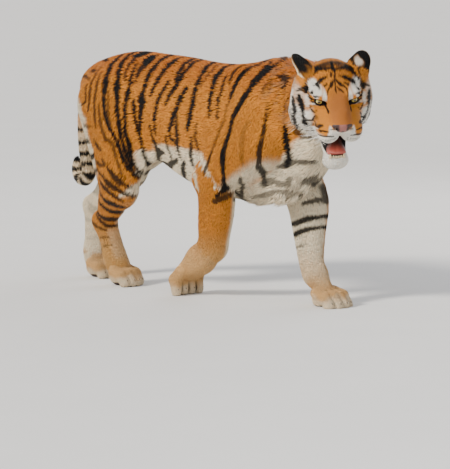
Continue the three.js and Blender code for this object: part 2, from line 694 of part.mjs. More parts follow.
// Tongue and teeth are fitted to the jaw: it is cut away from them where it is and a gap further on.
const nudges = [[0, 0, 0], [GAP, 0, 0], [-GAP, 0, 0], [0, GAP, 0], [0, -GAP, 0], [0, 0, GAP]];
const inMouth = (regions, facet) => flesh(
  regions, mouthBox[0], mouthBox[1], facet,
  [behind(mouthPlane, TONGUE_LOW)], nudges.map((nudge) => jawSolid.translate(nudge)),
);
addPiece('tongue', COAT.tongue, inMouth(['tongue'], FACET.tongue), 0.4);
addPiece('teeth_lower', COAT.tooth, inMouth(['teeth'], FACET.tooth), 0.3);
addPiece('nose', COAT.nose, flesh(skull, ...headBox, FACET.nose, [own(BLOCK.nose)]), 0.5);
for (const [side, sign] of Object.entries(SIDES)) {
  const centre = EARS[side].frame.elements.slice(12, 15);
  addPiece(`ear_${side}`, COAT.dark, flesh(
    ['head', 'jaw', `ear_${side}`, `ear_hollow_${side}`],
    centre.map((v) => v - 90), centre.map((v) => v + 90), FACET.ear, [own(BLOCK[`ear_${side}`])],
  ));
  addPiece(`eye_${side}`, COAT.eye, eyeSolid(sign, EYE_RADIUS), 0.15);
}

// The origin is the middle of the body's box, on the ground.
const bounds = new THREE.Box3().setFromObject(tiger);
tiger.position.set(-(bounds.min.x + bounds.max.x) / 2, -(bounds.min.y + bounds.max.y) / 2, 0);

export default tiger;
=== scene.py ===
# %% [markdown]
# # A life-size tiger, walking
#
# The model is one still animal: a skin, a coat of fur tufts over it, and the few parts that have no
# fur, which are the eyes, the nose, the tongue, the teeth, the whiskers and the claws.
#
# The frame comes first. It holds the plain solids that reach out to the tips of the coat, and every
# piece made here has to lie inside them. Blender's unit is the metre, but a body is easier to think
# of in millimetres, so the anatomy below is in millimetres and is turned into metres at the end.

# %% The frame
import json
import math
import time
from types import SimpleNamespace

import bmesh
import bpy
import numpy as np
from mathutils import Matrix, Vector

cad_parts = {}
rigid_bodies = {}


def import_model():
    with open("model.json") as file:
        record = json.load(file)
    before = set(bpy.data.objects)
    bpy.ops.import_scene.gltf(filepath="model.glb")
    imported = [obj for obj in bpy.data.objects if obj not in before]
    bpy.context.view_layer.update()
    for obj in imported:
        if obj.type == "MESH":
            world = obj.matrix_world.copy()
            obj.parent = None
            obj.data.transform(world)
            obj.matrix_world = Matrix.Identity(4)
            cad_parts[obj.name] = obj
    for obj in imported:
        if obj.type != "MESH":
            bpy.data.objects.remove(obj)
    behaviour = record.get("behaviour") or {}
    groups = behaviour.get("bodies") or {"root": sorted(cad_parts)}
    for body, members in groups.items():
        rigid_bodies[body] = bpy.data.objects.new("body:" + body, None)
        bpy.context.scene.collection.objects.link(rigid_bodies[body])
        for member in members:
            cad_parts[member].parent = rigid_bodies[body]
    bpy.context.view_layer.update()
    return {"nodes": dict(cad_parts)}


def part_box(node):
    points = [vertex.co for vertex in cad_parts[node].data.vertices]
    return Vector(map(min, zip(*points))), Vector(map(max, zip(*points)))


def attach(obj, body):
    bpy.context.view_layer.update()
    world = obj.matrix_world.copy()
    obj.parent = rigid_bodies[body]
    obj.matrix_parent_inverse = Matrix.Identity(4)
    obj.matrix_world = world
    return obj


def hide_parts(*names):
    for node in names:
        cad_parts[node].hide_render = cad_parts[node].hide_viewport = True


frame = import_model()
started = time.time()
MM = 0.001
rng = np.random.default_rng(7)
print("solids in the frame:", len(frame["nodes"]))


# %% [markdown]
# ## Where the head is
#
# A face is easiest to build in a frame of its own: x runs to the nose, y to the animal's left, z to
# the crown, and the origin lies between the eyes. The head is turned and lowered on the neck, and
# this one matrix carries every face measurement into the body's frame.

# %% The head's frame
HEAD_TURN = -35
HEAD_DOWN = 25
HEAD_ROLL = 2.5
BETWEEN_EYES = np.array([740.0, -164.0, 829.0])
SIDES = {"right": -1, "left": 1}


def turn(yaw, pitch=0, roll=0):
    """Turns about z, then y (a positive pitch raises x), then x, in degrees."""
    y, p, r = np.radians([yaw, -pitch, roll])
    about_z = np.array([[np.cos(y), -np.sin(y), 0], [np.sin(y), np.cos(y), 0], [0, 0, 1]])
    about_y = np.array([[np.cos(p), 0, np.sin(p)], [0, 1, 0], [-np.sin(p), 0, np.cos(p)]])
    about_x = np.array([[1, 0, 0], [0, np.cos(r), -np.sin(r)], [0, np.sin(r), np.cos(r)]])
    return about_z @ about_y @ about_x


HEAD = turn(HEAD_TURN, -HEAD_DOWN, HEAD_ROLL)


def in_head(point):
    """Carries a point of the head's frame into the body's."""
    return BETWEEN_EYES + HEAD @ np.asarray(point, float)


def head_coordinates(points):
    """Carries body points into the head's frame."""
    return (points - BETWEEN_EYES) @ HEAD


print("nose points to", np.round(HEAD[:, 0], 2))


# %% [markdown]
# ## Forms
#
# The body is a field: a function that is negative inside, positive outside and zero on the surface.
# Two kinds of form make it, a tapered limb and an ellipsoid, and each melts into the ones before it
# over a width called its blend. Every form also knows how deep the coat lies on it and which way its
# hair runs, so one list of forms gives the flesh, the coat and its direction.

# %% Two forms and how they melt
COAT_DEPTH = 11


def limb(a, b, ra, rb, blend=40, wa=1.0, wb=1.0, side=(0, 1, 0), coat=COAT_DEPTH, lie=None):
    """A rounded limb from a to b; wa and wb are its width along side over its depth."""
    a, b, side = (np.asarray(v, float) for v in (a, b, side))
    hair = b - a if lie is None else np.asarray(lie, float)
    return {"kind": "limb", "a": a, "b": b, "ra": ra, "rb": rb, "blend": blend, "wa": wa, "wb": wb,
            "side": side / np.linalg.norm(side), "coat": coat, "cut": False,
            "lie": hair / max(np.linalg.norm(hair), 1e-9)}


def lump(centre, radii, blend=40, axes=None, cut=False, coat=COAT_DEPTH, lie=(-1, 0, -0.3)):
    """An ellipsoid turned by the matrix axes; with cut it hollows the body instead."""
    hair = np.asarray(lie, float)
    return {"kind": "lump", "c": np.asarray(centre, float), "r": np.asarray(radii, float),
            "blend": blend, "axes": np.eye(3) if axes is None else axes, "cut": cut,
            "coat": coat, "lie": hair / np.linalg.norm(hair)}


def distance(form, x, y, z):
    """Distance from the bare form, on arrays that numpy can spread over each other."""
    if form["kind"] == "limb":
        along = form["b"] - form["a"]
        px, py, pz = x - form["a"][0], y - form["a"][1], z - form["a"][2]
        dot = px * along[0] + py * along[1] + pz * along[2]
        t = np.clip(dot / max(along @ along, 1e-9), 0, 1)
        qx, qy, qz = px - t * along[0], py - t * along[1], pz - t * along[2]
        width = form["wa"] + (form["wb"] - form["wa"]) * t
        s = qx * form["side"][0] + qy * form["side"][1] + qz * form["side"][2]
        square = qx * qx + qy * qy + qz * qz + s * s * (1 / (width * width) - 1)
        return np.sqrt(np.maximum(square, 0)) - (form["ra"] + (form["rb"] - form["ra"]) * t)
    px, py, pz = x - form["c"][0], y - form["c"][1], z - form["c"][2]
    k0 = k1 = 0
    for axis, r in zip(form["axes"].T, form["r"]):
        local = px * axis[0] + py * axis[1] + pz * axis[2]
        k0 = k0 + (local / r) ** 2
        k1 = k1 + (local / r ** 2) ** 2
    return (np.sqrt(k0) * (np.sqrt(k0) - 1)) / np.maximum(np.sqrt(k1), 1e-9)


def melt(so_far, d, form):
    """Joins a form to the body so far, or hollows the body with it."""
    k = form["blend"]
    if form["cut"]:
        h = np.maximum(k - np.abs(so_far + d), 0) / k
        return np.maximum(so_far, -d) + h * h * k / 4
    h = np.maximum(k - np.abs(so_far - d), 0) / k
    return np.minimum(so_far, d) - h * h * k / 4


def reach(form):
    """The box outside which a form can't matter."""
    room = form["blend"] + 60
    if form["kind"] == "limb":
        r = max(form["ra"], form["rb"]) * max(1, form["wa"], form["wb"]) + room
        return np.minimum(form["a"], form["b"]) - r, np.maximum(form["a"], form["b"]) + r
    r = np.sqrt((form["axes"] ** 2) @ form["r"] ** 2) + room
    return form["c"] - r, form["c"] + r


FAR = 1000.0
SOLE_FADE = 14.0  # the coat thins out over this height, so that the soles touch the floor


def near_to(form, points):
    """Which points are near enough for the form to matter."""
    low, high = reach(form)
    return np.nonzero(((points > low) & (points < high)).all(1))[0]


def field(forms, points, under_coat=False):
    """The body's field at points: the tips of the coat, or the skin under it."""
    f = np.full(len(points), FAR)
    for form in forms:
        near = near_to(form, points)
        if len(near) == 0:
            continue
        d = distance(form, *points[near].T)
        if under_coat:
            coat = form["coat"] * np.clip(points[near, 2] / SOLE_FADE, 0, 1)
            d = d - coat if form["cut"] else d + coat
        f[near] = melt(f[near], d, form)
    return f


def unit(rows):
    """Rows of numbers as directions of length 1."""
    return rows / np.maximum(np.linalg.norm(rows, axis=1, keepdims=True), 1e-9)


def slope(function, points):
    """Direction in which a field grows fastest, felt a millimetre to each side."""
    return unit(np.stack([function(points + e) - function(points - e) for e in np.eye(3)], 1))


print("two kinds of form are ready")


# %% [markdown]
# ## Trunk, neck and tail
#
# A long part is a chain of short limbs along a smooth curve. Only the stations that shape the animal
# are written down: the curve fills in the rest.

# %% Stations and chains
def smooth(stations, steps=3):
    """A Catmull-Rom curve through rows of numbers."""
    rows = np.array(stations, float)
    rows = np.vstack([2 * rows[0] - rows[1], rows, 2 * rows[-1] - rows[-2]])
    out = []
    for i in range(len(rows) - 3):
        p0, p1, p2, p3 = rows[i:i + 4]
        for t in np.arange(steps) / steps:
            out.append(0.5 * (2 * p1 + (p2 - p0) * t + (2 * p0 - 5 * p1 + 4 * p2 - p3) * t * t
                              + (3 * p1 - p0 - 3 * p2 + p3) * t ** 3))
    return np.array(out + [rows[-2]])


def chain(stations, blend, inner_blend=6, coat=COAT_DEPTH, lie=None):
    """Limbs through rows of x, y, z, half height and half width."""
    rows = smooth(stations)
    forms = []
    for i, (s, t) in enumerate(zip(rows, rows[1:])):
        forms.append(limb(s[:3], t[:3], s[3], t[3], inner_blend if i else blend,
                          s[4] / s[3], t[4] / t[3], coat=coat, lie=lie))
    return forms


TRUNK = [
    [-690, 0, 800, 105, 112],
    [-600, 0, 790, 150, 150],
    [-480, 0, 785, 178, 168],
    [-350, 0, 762, 196, 172],
    [-220, 0, 722, 230, 184],
    [-60, 0, 678, 258, 196],
    [90, 0, 662, 272, 200],
    [220, 0, 672, 276, 190],
    [330, 0, 702, 252, 170],
    [410, -5, 735, 205, 140],
]
NECK = [
    [330, 0, 770, 195, 150],
    [430, -15, 800, 170, 135],
    [520, -40, 815, 150, 128],
    [610, -78, 822, 135, 125],
]
TAIL = [
    [-680, 0, 835, 62, 62],
    [-745, 0, 800, 49, 49],
    [-788, -4, 728, 39, 39],
    [-802, -8, 635, 33, 33],
    [-800, -6, 540, 31, 31],
    [-790, -2, 480, 31, 31],
    [-786, 2, 442, 31, 31],
    [-808, 6, 412, 30, 30],
    [-843, 8, 414, 29, 29],
    [-864, 10, 445, 27, 27],
    [-866, 10, 485, 21, 21],
]
body = {}
body["trunk"] = chain(TRUNK, 30, coat=12, lie=(-1, 0, -0.25))
body["neck"] = chain(NECK, 60, coat=18, lie=(-0.85, 0.3, -0.45))
body["breast"] = [
    lump([420, 0, 600], [115, 120, 150], 60, coat=30, lie=(-0.2, 0, -1)),
    lump([330, 0, 500], [120, 110, 120], 50, coat=30, lie=(-0.4, 0, -1)),
    lump([205, 0, 480], [110, 92, 114], 50, coat=26, lie=(-0.6, 0, -1)),
]
print("trunk, neck and breast:", sum(len(forms) for forms in body.values()), "forms")


# %% [markdown]
# ## Shoulders and forelegs
#
# The shoulder blade stands nearly upright against the ribs, the upper arm slopes back to the elbow,
# and the foreleg drops from there. The right leg is about to land and the left one is well forward.

# %% Shoulders and forelegs
SHOULDER = {
    "right": {"joint": [330, -150, 650], "elbow": [85, -165, 490], "point": [35, -168, 480]},
    "left": {"joint": [365, 150, 665], "elbow": [215, 165, 470], "point": [185, 165, 470]},
}
FORELEG = {
    "right": [
        [98, -158, 490, 88, 64],
        [86, -136, 390, 84, 66],
        [52, -112, 290, 76, 62],
        [20, -88, 205, 62, 55],
    ],
    "left": [
        [250, 160, 480, 98, 80],
        [312, 150, 385, 92, 78],
        [355, 112, 270, 72, 60],
        [400, 74, 165, 55, 49],
        [435, 58, 118, 51, 49],
    ],
}


def shoulder(sign, joint, elbow):
    """Shoulder blade, upper arm and the muscle behind them."""
    top = [joint[0] - 145, sign * 95, 875]
    spine = [joint[0] - 40, sign * 135, 720]
    down = (-0.45, 0, -1)
    return [
        limb(top, spine, 62, 105, 60, 0.6, 0.6, lie=down),
        limb(spine, joint, 105, 98, 60, 0.62, 0.7, lie=down),
        limb(joint, elbow, 98, 76, 50, 0.75, 0.75, lie=down),
        lump([joint[0] - 150, sign * 150, 620], [110, 60, 120], 60, lie=(-0.7, 0, -1)),
    ]


for name, sign in SIDES.items():
    place = SHOULDER[name]
    body[f"shoulder_{name}"] = shoulder(sign, place["joint"], place["elbow"])
    body[f"foreleg_{name}"] = chain(FORELEG[name], 30, coat=8) + [
        lump(place["point"], [47, 40, 52], 30, coat=12, lie=(-0.5, 0, -1))]
print("shoulders and forelegs done")


# %% [markdown]
# ## Hind legs
#
# The thigh is three muscles: one down the front, one behind, and the mass between. Below the knee the
# shank runs back to the hock, whose heel stands out behind, and the long foot bones drop to the paw.

# %% Hind legs
HINDLEG = {
    "right": {"hip": [-525, -100, 735], "knee": [-438, -158, 410], "hock": [-602, -84, 256],
              "ball": [-545, -64, 78], "bulk": 110},
    "left": {"hip": [-535, 100, 755], "knee": [-670, 122, 455], "hock": [-832, 82, 290],
             "ball": [-815, 62, 78], "bulk": 80},
}


def between(a, b, t):
    """The point a share t of the way from a to b."""
    return np.asarray(a, float) * (1 - t) + np.asarray(b, float) * t


def hindleg(sign, hip, knee, hock, ball, bulk):
    """Three thigh muscles, the calf in two, the heel and the long foot bones."""
    hip, knee, hock, ball = (np.array(v, float) for v in (hip, knee, hock, ball))
    calf = between(knee, hock, 0.5) + [-5, 0, 5]
    seat_end = between(knee, hock, 0.45) + [0, 0, 55]
    down = (-0.5, 0, -1)
    return [
        limb(hip, knee, 150, 82, 60, 0.66, 0.72, coat=10, lie=down),
        limb(hip + [-75, sign * 5, -10], seat_end, 118, 70, 60, 0.62, 0.6, coat=12, lie=down),
        limb(hip + [70, sign * 20, -40], knee + [10, 0, 10], bulk, 70, 60, 0.6, 0.62,
             coat=12, lie=down),
        limb(knee, calf, 74, 58, 40, 0.72, 0.75, coat=9),
        limb(calf, hock, 62, 48, 30, 0.75, 0.8, coat=7),
        lump(hock + [-40, 0, 6], [32, 26, 36], 25, coat=6, lie=(-0.1, 0, -1)),
        limb(hock, ball, 52, 46, 30, 0.85, 1.0, coat=6),
    ]


for name, sign in SIDES.items():
    body[f"hindleg_{name}"] = hindleg(sign, **HINDLEG[name])
body["flank_right"] = [limb([-320, -115, 570], [-380, -140, 500], 60, 50, 60, 0.5, 0.5, coat=12)]
body["flank_left"] = [limb([-420, 120, 570], [-540, 125, 520], 60, 50, 60, 0.5, 0.5, coat=12)]
print("hind legs done")


# %% [markdown]
# ## Paws and tail
#
# A paw is a broad pad with four toes that rise to a knuckle and drop to the ground. The right
# forepaw hangs from its bent wrist, so its toes only touch down with their tips.

# %% Paws and tail
PLANTED = {
    "forepaw_left": {"wrist": [440, 56, 115], "ball": [494, 50, 56], "width": 126, "long": 90,
                     "heading": -4},
    "hindpaw_right": {"wrist": [-570, -66, 110], "ball": [-533, -63, 64], "width": 110, "long": 74,
                      "heading": 2},
    "hindpaw_left": {"wrist": [-820, 64, 110], "ball": [-796, 60, 64], "width": 110, "long": 74,
                     "heading": 4},
}
BENT_WRIST = np.array([20.0, -88.0, 205.0])
BENT_BALL = np.array([-106.0, -84.0, 102.0])
TOES = [-1.5, -0.5, 0.5, 1.5]
TOE_TIP = 23  # the radius of a toe at its tip
PAW_COAT = 4
toe_tips = {}


def toe(base, knuckle, tip):
    return [limb(base, knuckle, 27, 28, 10, coat=PAW_COAT),
            limb(knuckle, tip, 28, TOE_TIP, 9, coat=PAW_COAT)]


def planted_paw(name, wrist, ball, width, long, heading):
    """A paw flat on the floor, with its toes spread across its heading."""
    aim = math.radians(heading)
    ahead = np.array([math.cos(aim), math.sin(aim), 0])
    across = np.array([-ahead[1], ahead[0], 0])

    def at(along, aside, up):
        return np.array(ball) + ahead * along + across * aside + [0, 0, up]

    forms = [limb(wrist, ball, 44, 40, 30, coat=5),
             lump(at(2, 0, -30), [52, width * 0.45, 38], 20, turn(heading), coat=PAW_COAT,
                  lie=(1, 0, -0.3))]
    for t in TOES:
        length = long * (0.84 if abs(t) > 1 else 1)
        aside = t * width * 0.235
        knuckle, tip = at(length * 0.62, aside + t * 2, -18), at(length, aside + t * 3, -44)
        forms += toe(at(0, aside, -4), knuckle, tip)
        toe_tips.setdefault(name, []).append((knuckle, tip))
    return forms


def bent_paw(name):
    """The paw that hangs from its wrist and only touches down with its toes."""
    middle = between(BENT_WRIST, BENT_BALL, 0.55)
    forms = [limb(BENT_WRIST, middle, 58, 60, 30, 0.92, 1.0, coat=6),
             limb(middle, BENT_BALL, 60, 48, 25, 1.0, 1.4, coat=PAW_COAT)]
    for t in TOES:
        base = BENT_BALL + [-2, t * 38, -4]
        knuckle = base + [-34 + abs(t) * 4, t * 2, -34]
        tip = np.array([knuckle[0] + 8, knuckle[1] + t * 2, 20])
        forms += toe(base, knuckle, tip)
        toe_tips.setdefault(name, []).append((knuckle, tip))
    return forms


for name, place in PLANTED.items():
    body[name] = planted_paw(name, **place)
body["forepaw_right"] = bent_paw("forepaw_right")
body["tail"] = chain(TAIL, 40, 8, coat=9)
print("toes:", sum(len(tips) for tips in toe_tips.values()))


# %% [markdown]
# ## The head
#
# The skull, the two sides of the muzzle, the cheekbones and the jaw muscles are lumps in the head's
# own frame. The deep ruff of a northern tiger covers the jaw muscle, so the coat is deepest there
# and shortest on the bridge of the nose.

# %% The head's forms
def head_lump(centre, radii, blend, tilt=None, cut=False, coat=5, lie=(-1, 0, 0)):
    """An ellipsoid in the head's own frame."""
    axes = HEAD if tilt is None else HEAD @ tilt
    return lump(in_head(centre), radii, blend, axes, cut, coat, HEAD @ np.array(lie, float))


def head_limb(a, b, ra, rb, blend, wa=1, wb=1, coat=5, lie=(-1, 0, 0)):
    """A limb in the head's own frame, with its width across the face."""
    return limb(in_head(a), in_head(b), ra, rb, blend, wa, wb, HEAD[:, 1], coat,
                HEAD @ np.array(lie, float))


MOUTH_CENTRE = [86, 0, -158]
MOUTH_TILT = -16
body["head"] = [
    head_lump([-98, 0, 24], [102, 104, 94], 40, coat=9, lie=(-1, 0, -0.2)),
    head_lump([-34, 0, 12], [70, 84, 58], 40, coat=6, lie=(-1, 0, 0.4)),
    head_limb([-30, 0, 0], [94, 0, -20], 60, 42, 30, coat=3, lie=(-1, 0, 0.3)),
    head_lump([120, 0, -38], [34, 42, 30], 16, coat=1, lie=(-1, 0, 0.3)),
]
for sign in SIDES.values():
    body["head"] += [
        head_lump([94, sign * 43, -76], [52, 46, 50], 16, coat=3, lie=(-0.8, sign * 0.5, -0.4)),
        head_lump([46, sign * 54, -60], [58, 36, 50], 25, coat=4, lie=(-1, sign * 0.4, -0.3)),
        head_limb([14, sign * 66, -30], [-70, sign * 104, -18], 34, 50, 30, coat=6,
                  lie=(-1, sign * 0.6, -0.2)),
        head_lump([-62, sign * 94, -50], [86, 58, 90], 40, coat=12, lie=(-0.7, sign * 0.5, -0.8)),
        head_lump([-82, sign * 112, -84], [62, 52, 92], 40, coat=22, lie=(-0.5, sign * 0.6, -1)),
        head_lump([-92, sign * 106, 26], [52, 42, 58], 36, coat=10, lie=(-0.8, sign * 0.4, -0.5)),
        head_lump([2, sign * 54, 34], [30, 34, 18], 16, coat=4, lie=(-1, sign * 0.3, 0.4)),
        head_lump([35, sign * 69, 6], [22, 26, 15], 16, cut=True, coat=0),
    ]
body["jaw"] = [
    head_limb([-70, 0, -112], [54, 0, -213], 68, 42, 30, 1.05, 1.15, coat=9, lie=(-1, 0, -0.6)),
    head_lump([60, 0, -232], [38, 54, 38], 22, coat=7, lie=(-0.6, 0, -1)),
    head_lump([-110, 0, -110], [100, 104, 120], 50, coat=22, lie=(-0.6, 0, -1)),
]
body["mouth"] = [head_lump(MOUTH_CENTRE, [88, 58, 34], 10, turn(0, MOUTH_TILT), cut=True, coat=0)]
EARS = {
    "right": {"centre": [-108, -118, 98], "pose": turn(68) @ turn(0, 42), "spot": 0.0},
    "left": {"centre": [-110, 116, 98], "pose": turn(-44, 0, -22), "spot": 0.85},
}
for name, ear in EARS.items():
    ear["axes"] = HEAD @ ear["pose"]
    ear["at"] = in_head(ear["centre"])
    hollow = ear["at"] + ear["axes"] @ [-20, 0, 10]
    up = ear["axes"][:, 2]
    base = ear["at"] + ear["axes"] @ [2, 0, -30]
    body[f"ear_{name}"] = [
        lump(ear["at"], [24, 40, 54], 20, ear["axes"], coat=3, lie=up),
        lump(base, [22, 46, 34], 26, ear["axes"], coat=5, lie=up),
        lump(hollow, [22, 31, 45], 6, ear["axes"], cut=True, coat=1, lie=up)]
print("head forms:", len(body["head"]) + len(body["jaw"]))

ORDER = ["trunk", "neck", "breast", "shoulder_right", "foreleg_right", "shoulder_left",
         "foreleg_left", "hindleg_right", "hindleg_left", "flank_right", "flank_left",
         "forepaw_left", "hindpaw_right", "hindpaw_left", "forepaw_right", "tail", "head", "jaw",
         "mouth", "ear_right", "ear_left"]
forms = [form for region in ORDER for form in body[region]]
print("forms in the whole body:", len(forms))


# %% [markdown]
# ## Lids, nostrils and lips
#
# These only exist in the skin: they are too fine for the plain solids. Each lid is a ball a little
# larger than the eye, melted into the brow, with an almond cut through it. The almond slants down to
# the nose, and its upper edge is nearly straight, which gives a cat its level stare.

# %% Fine forms of the face
EYE_CENTRE = [8, 66, 8]
EYE_RADIUS = 17
EYE_LOOK = 12  # degrees that each eye looks outwards
LID = 2.5
SLANT = 16
NOSTRIL = [140, 24, -45]


def eye_at(sign):
    """Middle of an eye in the head's frame; sign is -1 on the right and 1 on the left."""
    return np.array([EYE_CENTRE[0], sign * EYE_CENTRE[1], EYE_CENTRE[2]])


fine, between_lids = [], []
for sign in SIDES.values():
    eye = eye_at(sign)
    facing = turn(sign * EYE_LOOK)
    almond = facing @ turn(0, 0, sign * SLANT)
    front = eye + facing @ [EYE_RADIUS - 1, -sign * 1.0, -0.5]
    nostril = np.array([NOSTRIL[0], sign * NOSTRIL[1], NOSTRIL[2]])
    opening = [
        head_lump(front, [10, 17, 7.6], 3, almond, cut=True, coat=0),
        head_lump(eye + [15, -sign * 20, -8], [9, 6, 3.5], 3, almond, cut=True, coat=0),
    ]
    fine += [
        head_lump(eye, [EYE_RADIUS + LID] * 3, 10, coat=0, lie=(-1, sign * 0.3, 0.3)),
        head_lump(eye + [6, 0, 15], [17, 24, 8], 12, almond, coat=1, lie=(-1, sign * 0.4, 0.2)),
        *opening,
        head_lump(nostril, [16, 9, 7], 5, turn(sign * 25, 0, -sign * 20), cut=True, coat=0),
        head_lump(nostril + [-8, sign * 13, -6], [12, 7, 3.2], 4, turn(sign * 40, 0, sign * 18),
                  cut=True, coat=0),
    ]
    between_lids += opening
# The split of the upper lip runs from the nose down to the mouth.
lip_split = head_limb([150, 0, -60], [140, 0, -110], 4, 5, 8, 0.5, 0.5, coat=0)
fine.append(dict(lip_split, cut=True))
forms += fine
print("fine forms of the face:", len(fine))


# %% [markdown]
# ## Which way the hair runs
#
# At any place the nearest forms say how deep the coat is and which way it lies, the nearest one most.
# The direction is laid flat on the skin before it is used.

# %% The coat's depth and direction
def laid_flat(way, normals):
    """The direction that a way takes along the skin."""
    return unit(way - normals * (way * normals).sum(1, keepdims=True))


def coat_at(points, normals):
    """Depth of the coat, the way it lies, and the region that each point belongs to."""
    weight = np.full(len(points), 1e-9)
    depth = np.full(len(points), 1e-9 * COAT_DEPTH)
    way = np.zeros((len(points), 3))
    nearest = np.full(len(points), FAR)
    region = np.zeros(len(points), int)
    for index, name in enumerate(ORDER):
        for form in body[name]:
            near = near_to(form, points)
            if len(near) == 0 or form["cut"]:
                continue
            d = distance(form, *points[near].T) + form["coat"]
            w = np.exp(-np.maximum(d, -6) / 7)
            weight[near] += w
            depth[near] += w * form["coat"]
            way[near] += w[:, None] * form["lie"]
            closer = d < nearest[near]
            region[near[closer]] = index
            nearest[near[closer]] = d[closer]
    return depth / weight, laid_flat(way, normals), region


print("coat directions come from", len(forms), "forms")


# %% [markdown]
# ## The markings
#
# No two tigers match, and neither do the two sides of one. A stripe here is a stroke: a few points
# with a half width at each, on the animal's side (x forward, z up) or on its face (y to its left, z
# to the crown). The strokes are drawn on the coat by distance, with a slow wobble so that their
# edges look grown and not ruled. The other side of the body uses the same strokes, carried over to
# the pose of its legs and shifted a little, so that it is a different, related pattern.

# %% Strokes
def wobble(points, wavelength, seed):
    """A smooth number between about -1 and 1, different at every place."""
    source = np.random.default_rng(seed)
    total = np.zeros(len(points))
    for _ in range(6):
        direction = source.normal(size=3)
        direction *= 2 * np.pi / (wavelength * np.linalg.norm(direction))
        total += np.sin(points @ (direction * source.uniform(0.7, 1.4)) + source.uniform(0, 6.3))
    return total / 3


def step(value, low, high):
    """0 below low, 1 above high, smooth between."""
    t = np.clip((value - low) / (high - low), 0, 1)
    return t * t * (3 - 2 * t)


STROKE_BOLDNESS = 1.25
FACE_BOLDNESS = 1.05


def stroke_mask(places, strokes, soft=2.5, boldness=STROKE_BOLDNESS):
    """How dark each place is under strokes of rows u, v, half width, and a strength."""
    dark = np.zeros(len(places))
    for strength, *rows in strokes:
        line = smooth(rows) if len(rows) > 2 else np.array(rows, float)
        line = line * [1, 1, boldness]
        widest = line[:, 2].max() + soft
        inside = ((places > line[:, :2].min(0) - widest)
                  & (places < line[:, :2].max(0) + widest)).all(1)
        near = np.nonzero(inside)[0]
        if len(near) == 0:
            continue
        best = np.full(len(near), FAR)
        for p, q in zip(line, line[1:]):
            along = q[:2] - p[:2]
            t = np.clip(((places[near] - p[:2]) @ along) / max(along @ along, 1e-6), 0, 1)
            gap = np.linalg.norm(places[near] - p[:2] - t[:, None] * along, axis=1)
            best = np.minimum(best, gap - (p[2] + (q[2] - p[2]) * t))
        dark[near] = np.maximum(dark[near], strength ** 0.6 * step(-best, -soft, soft))
    return dark


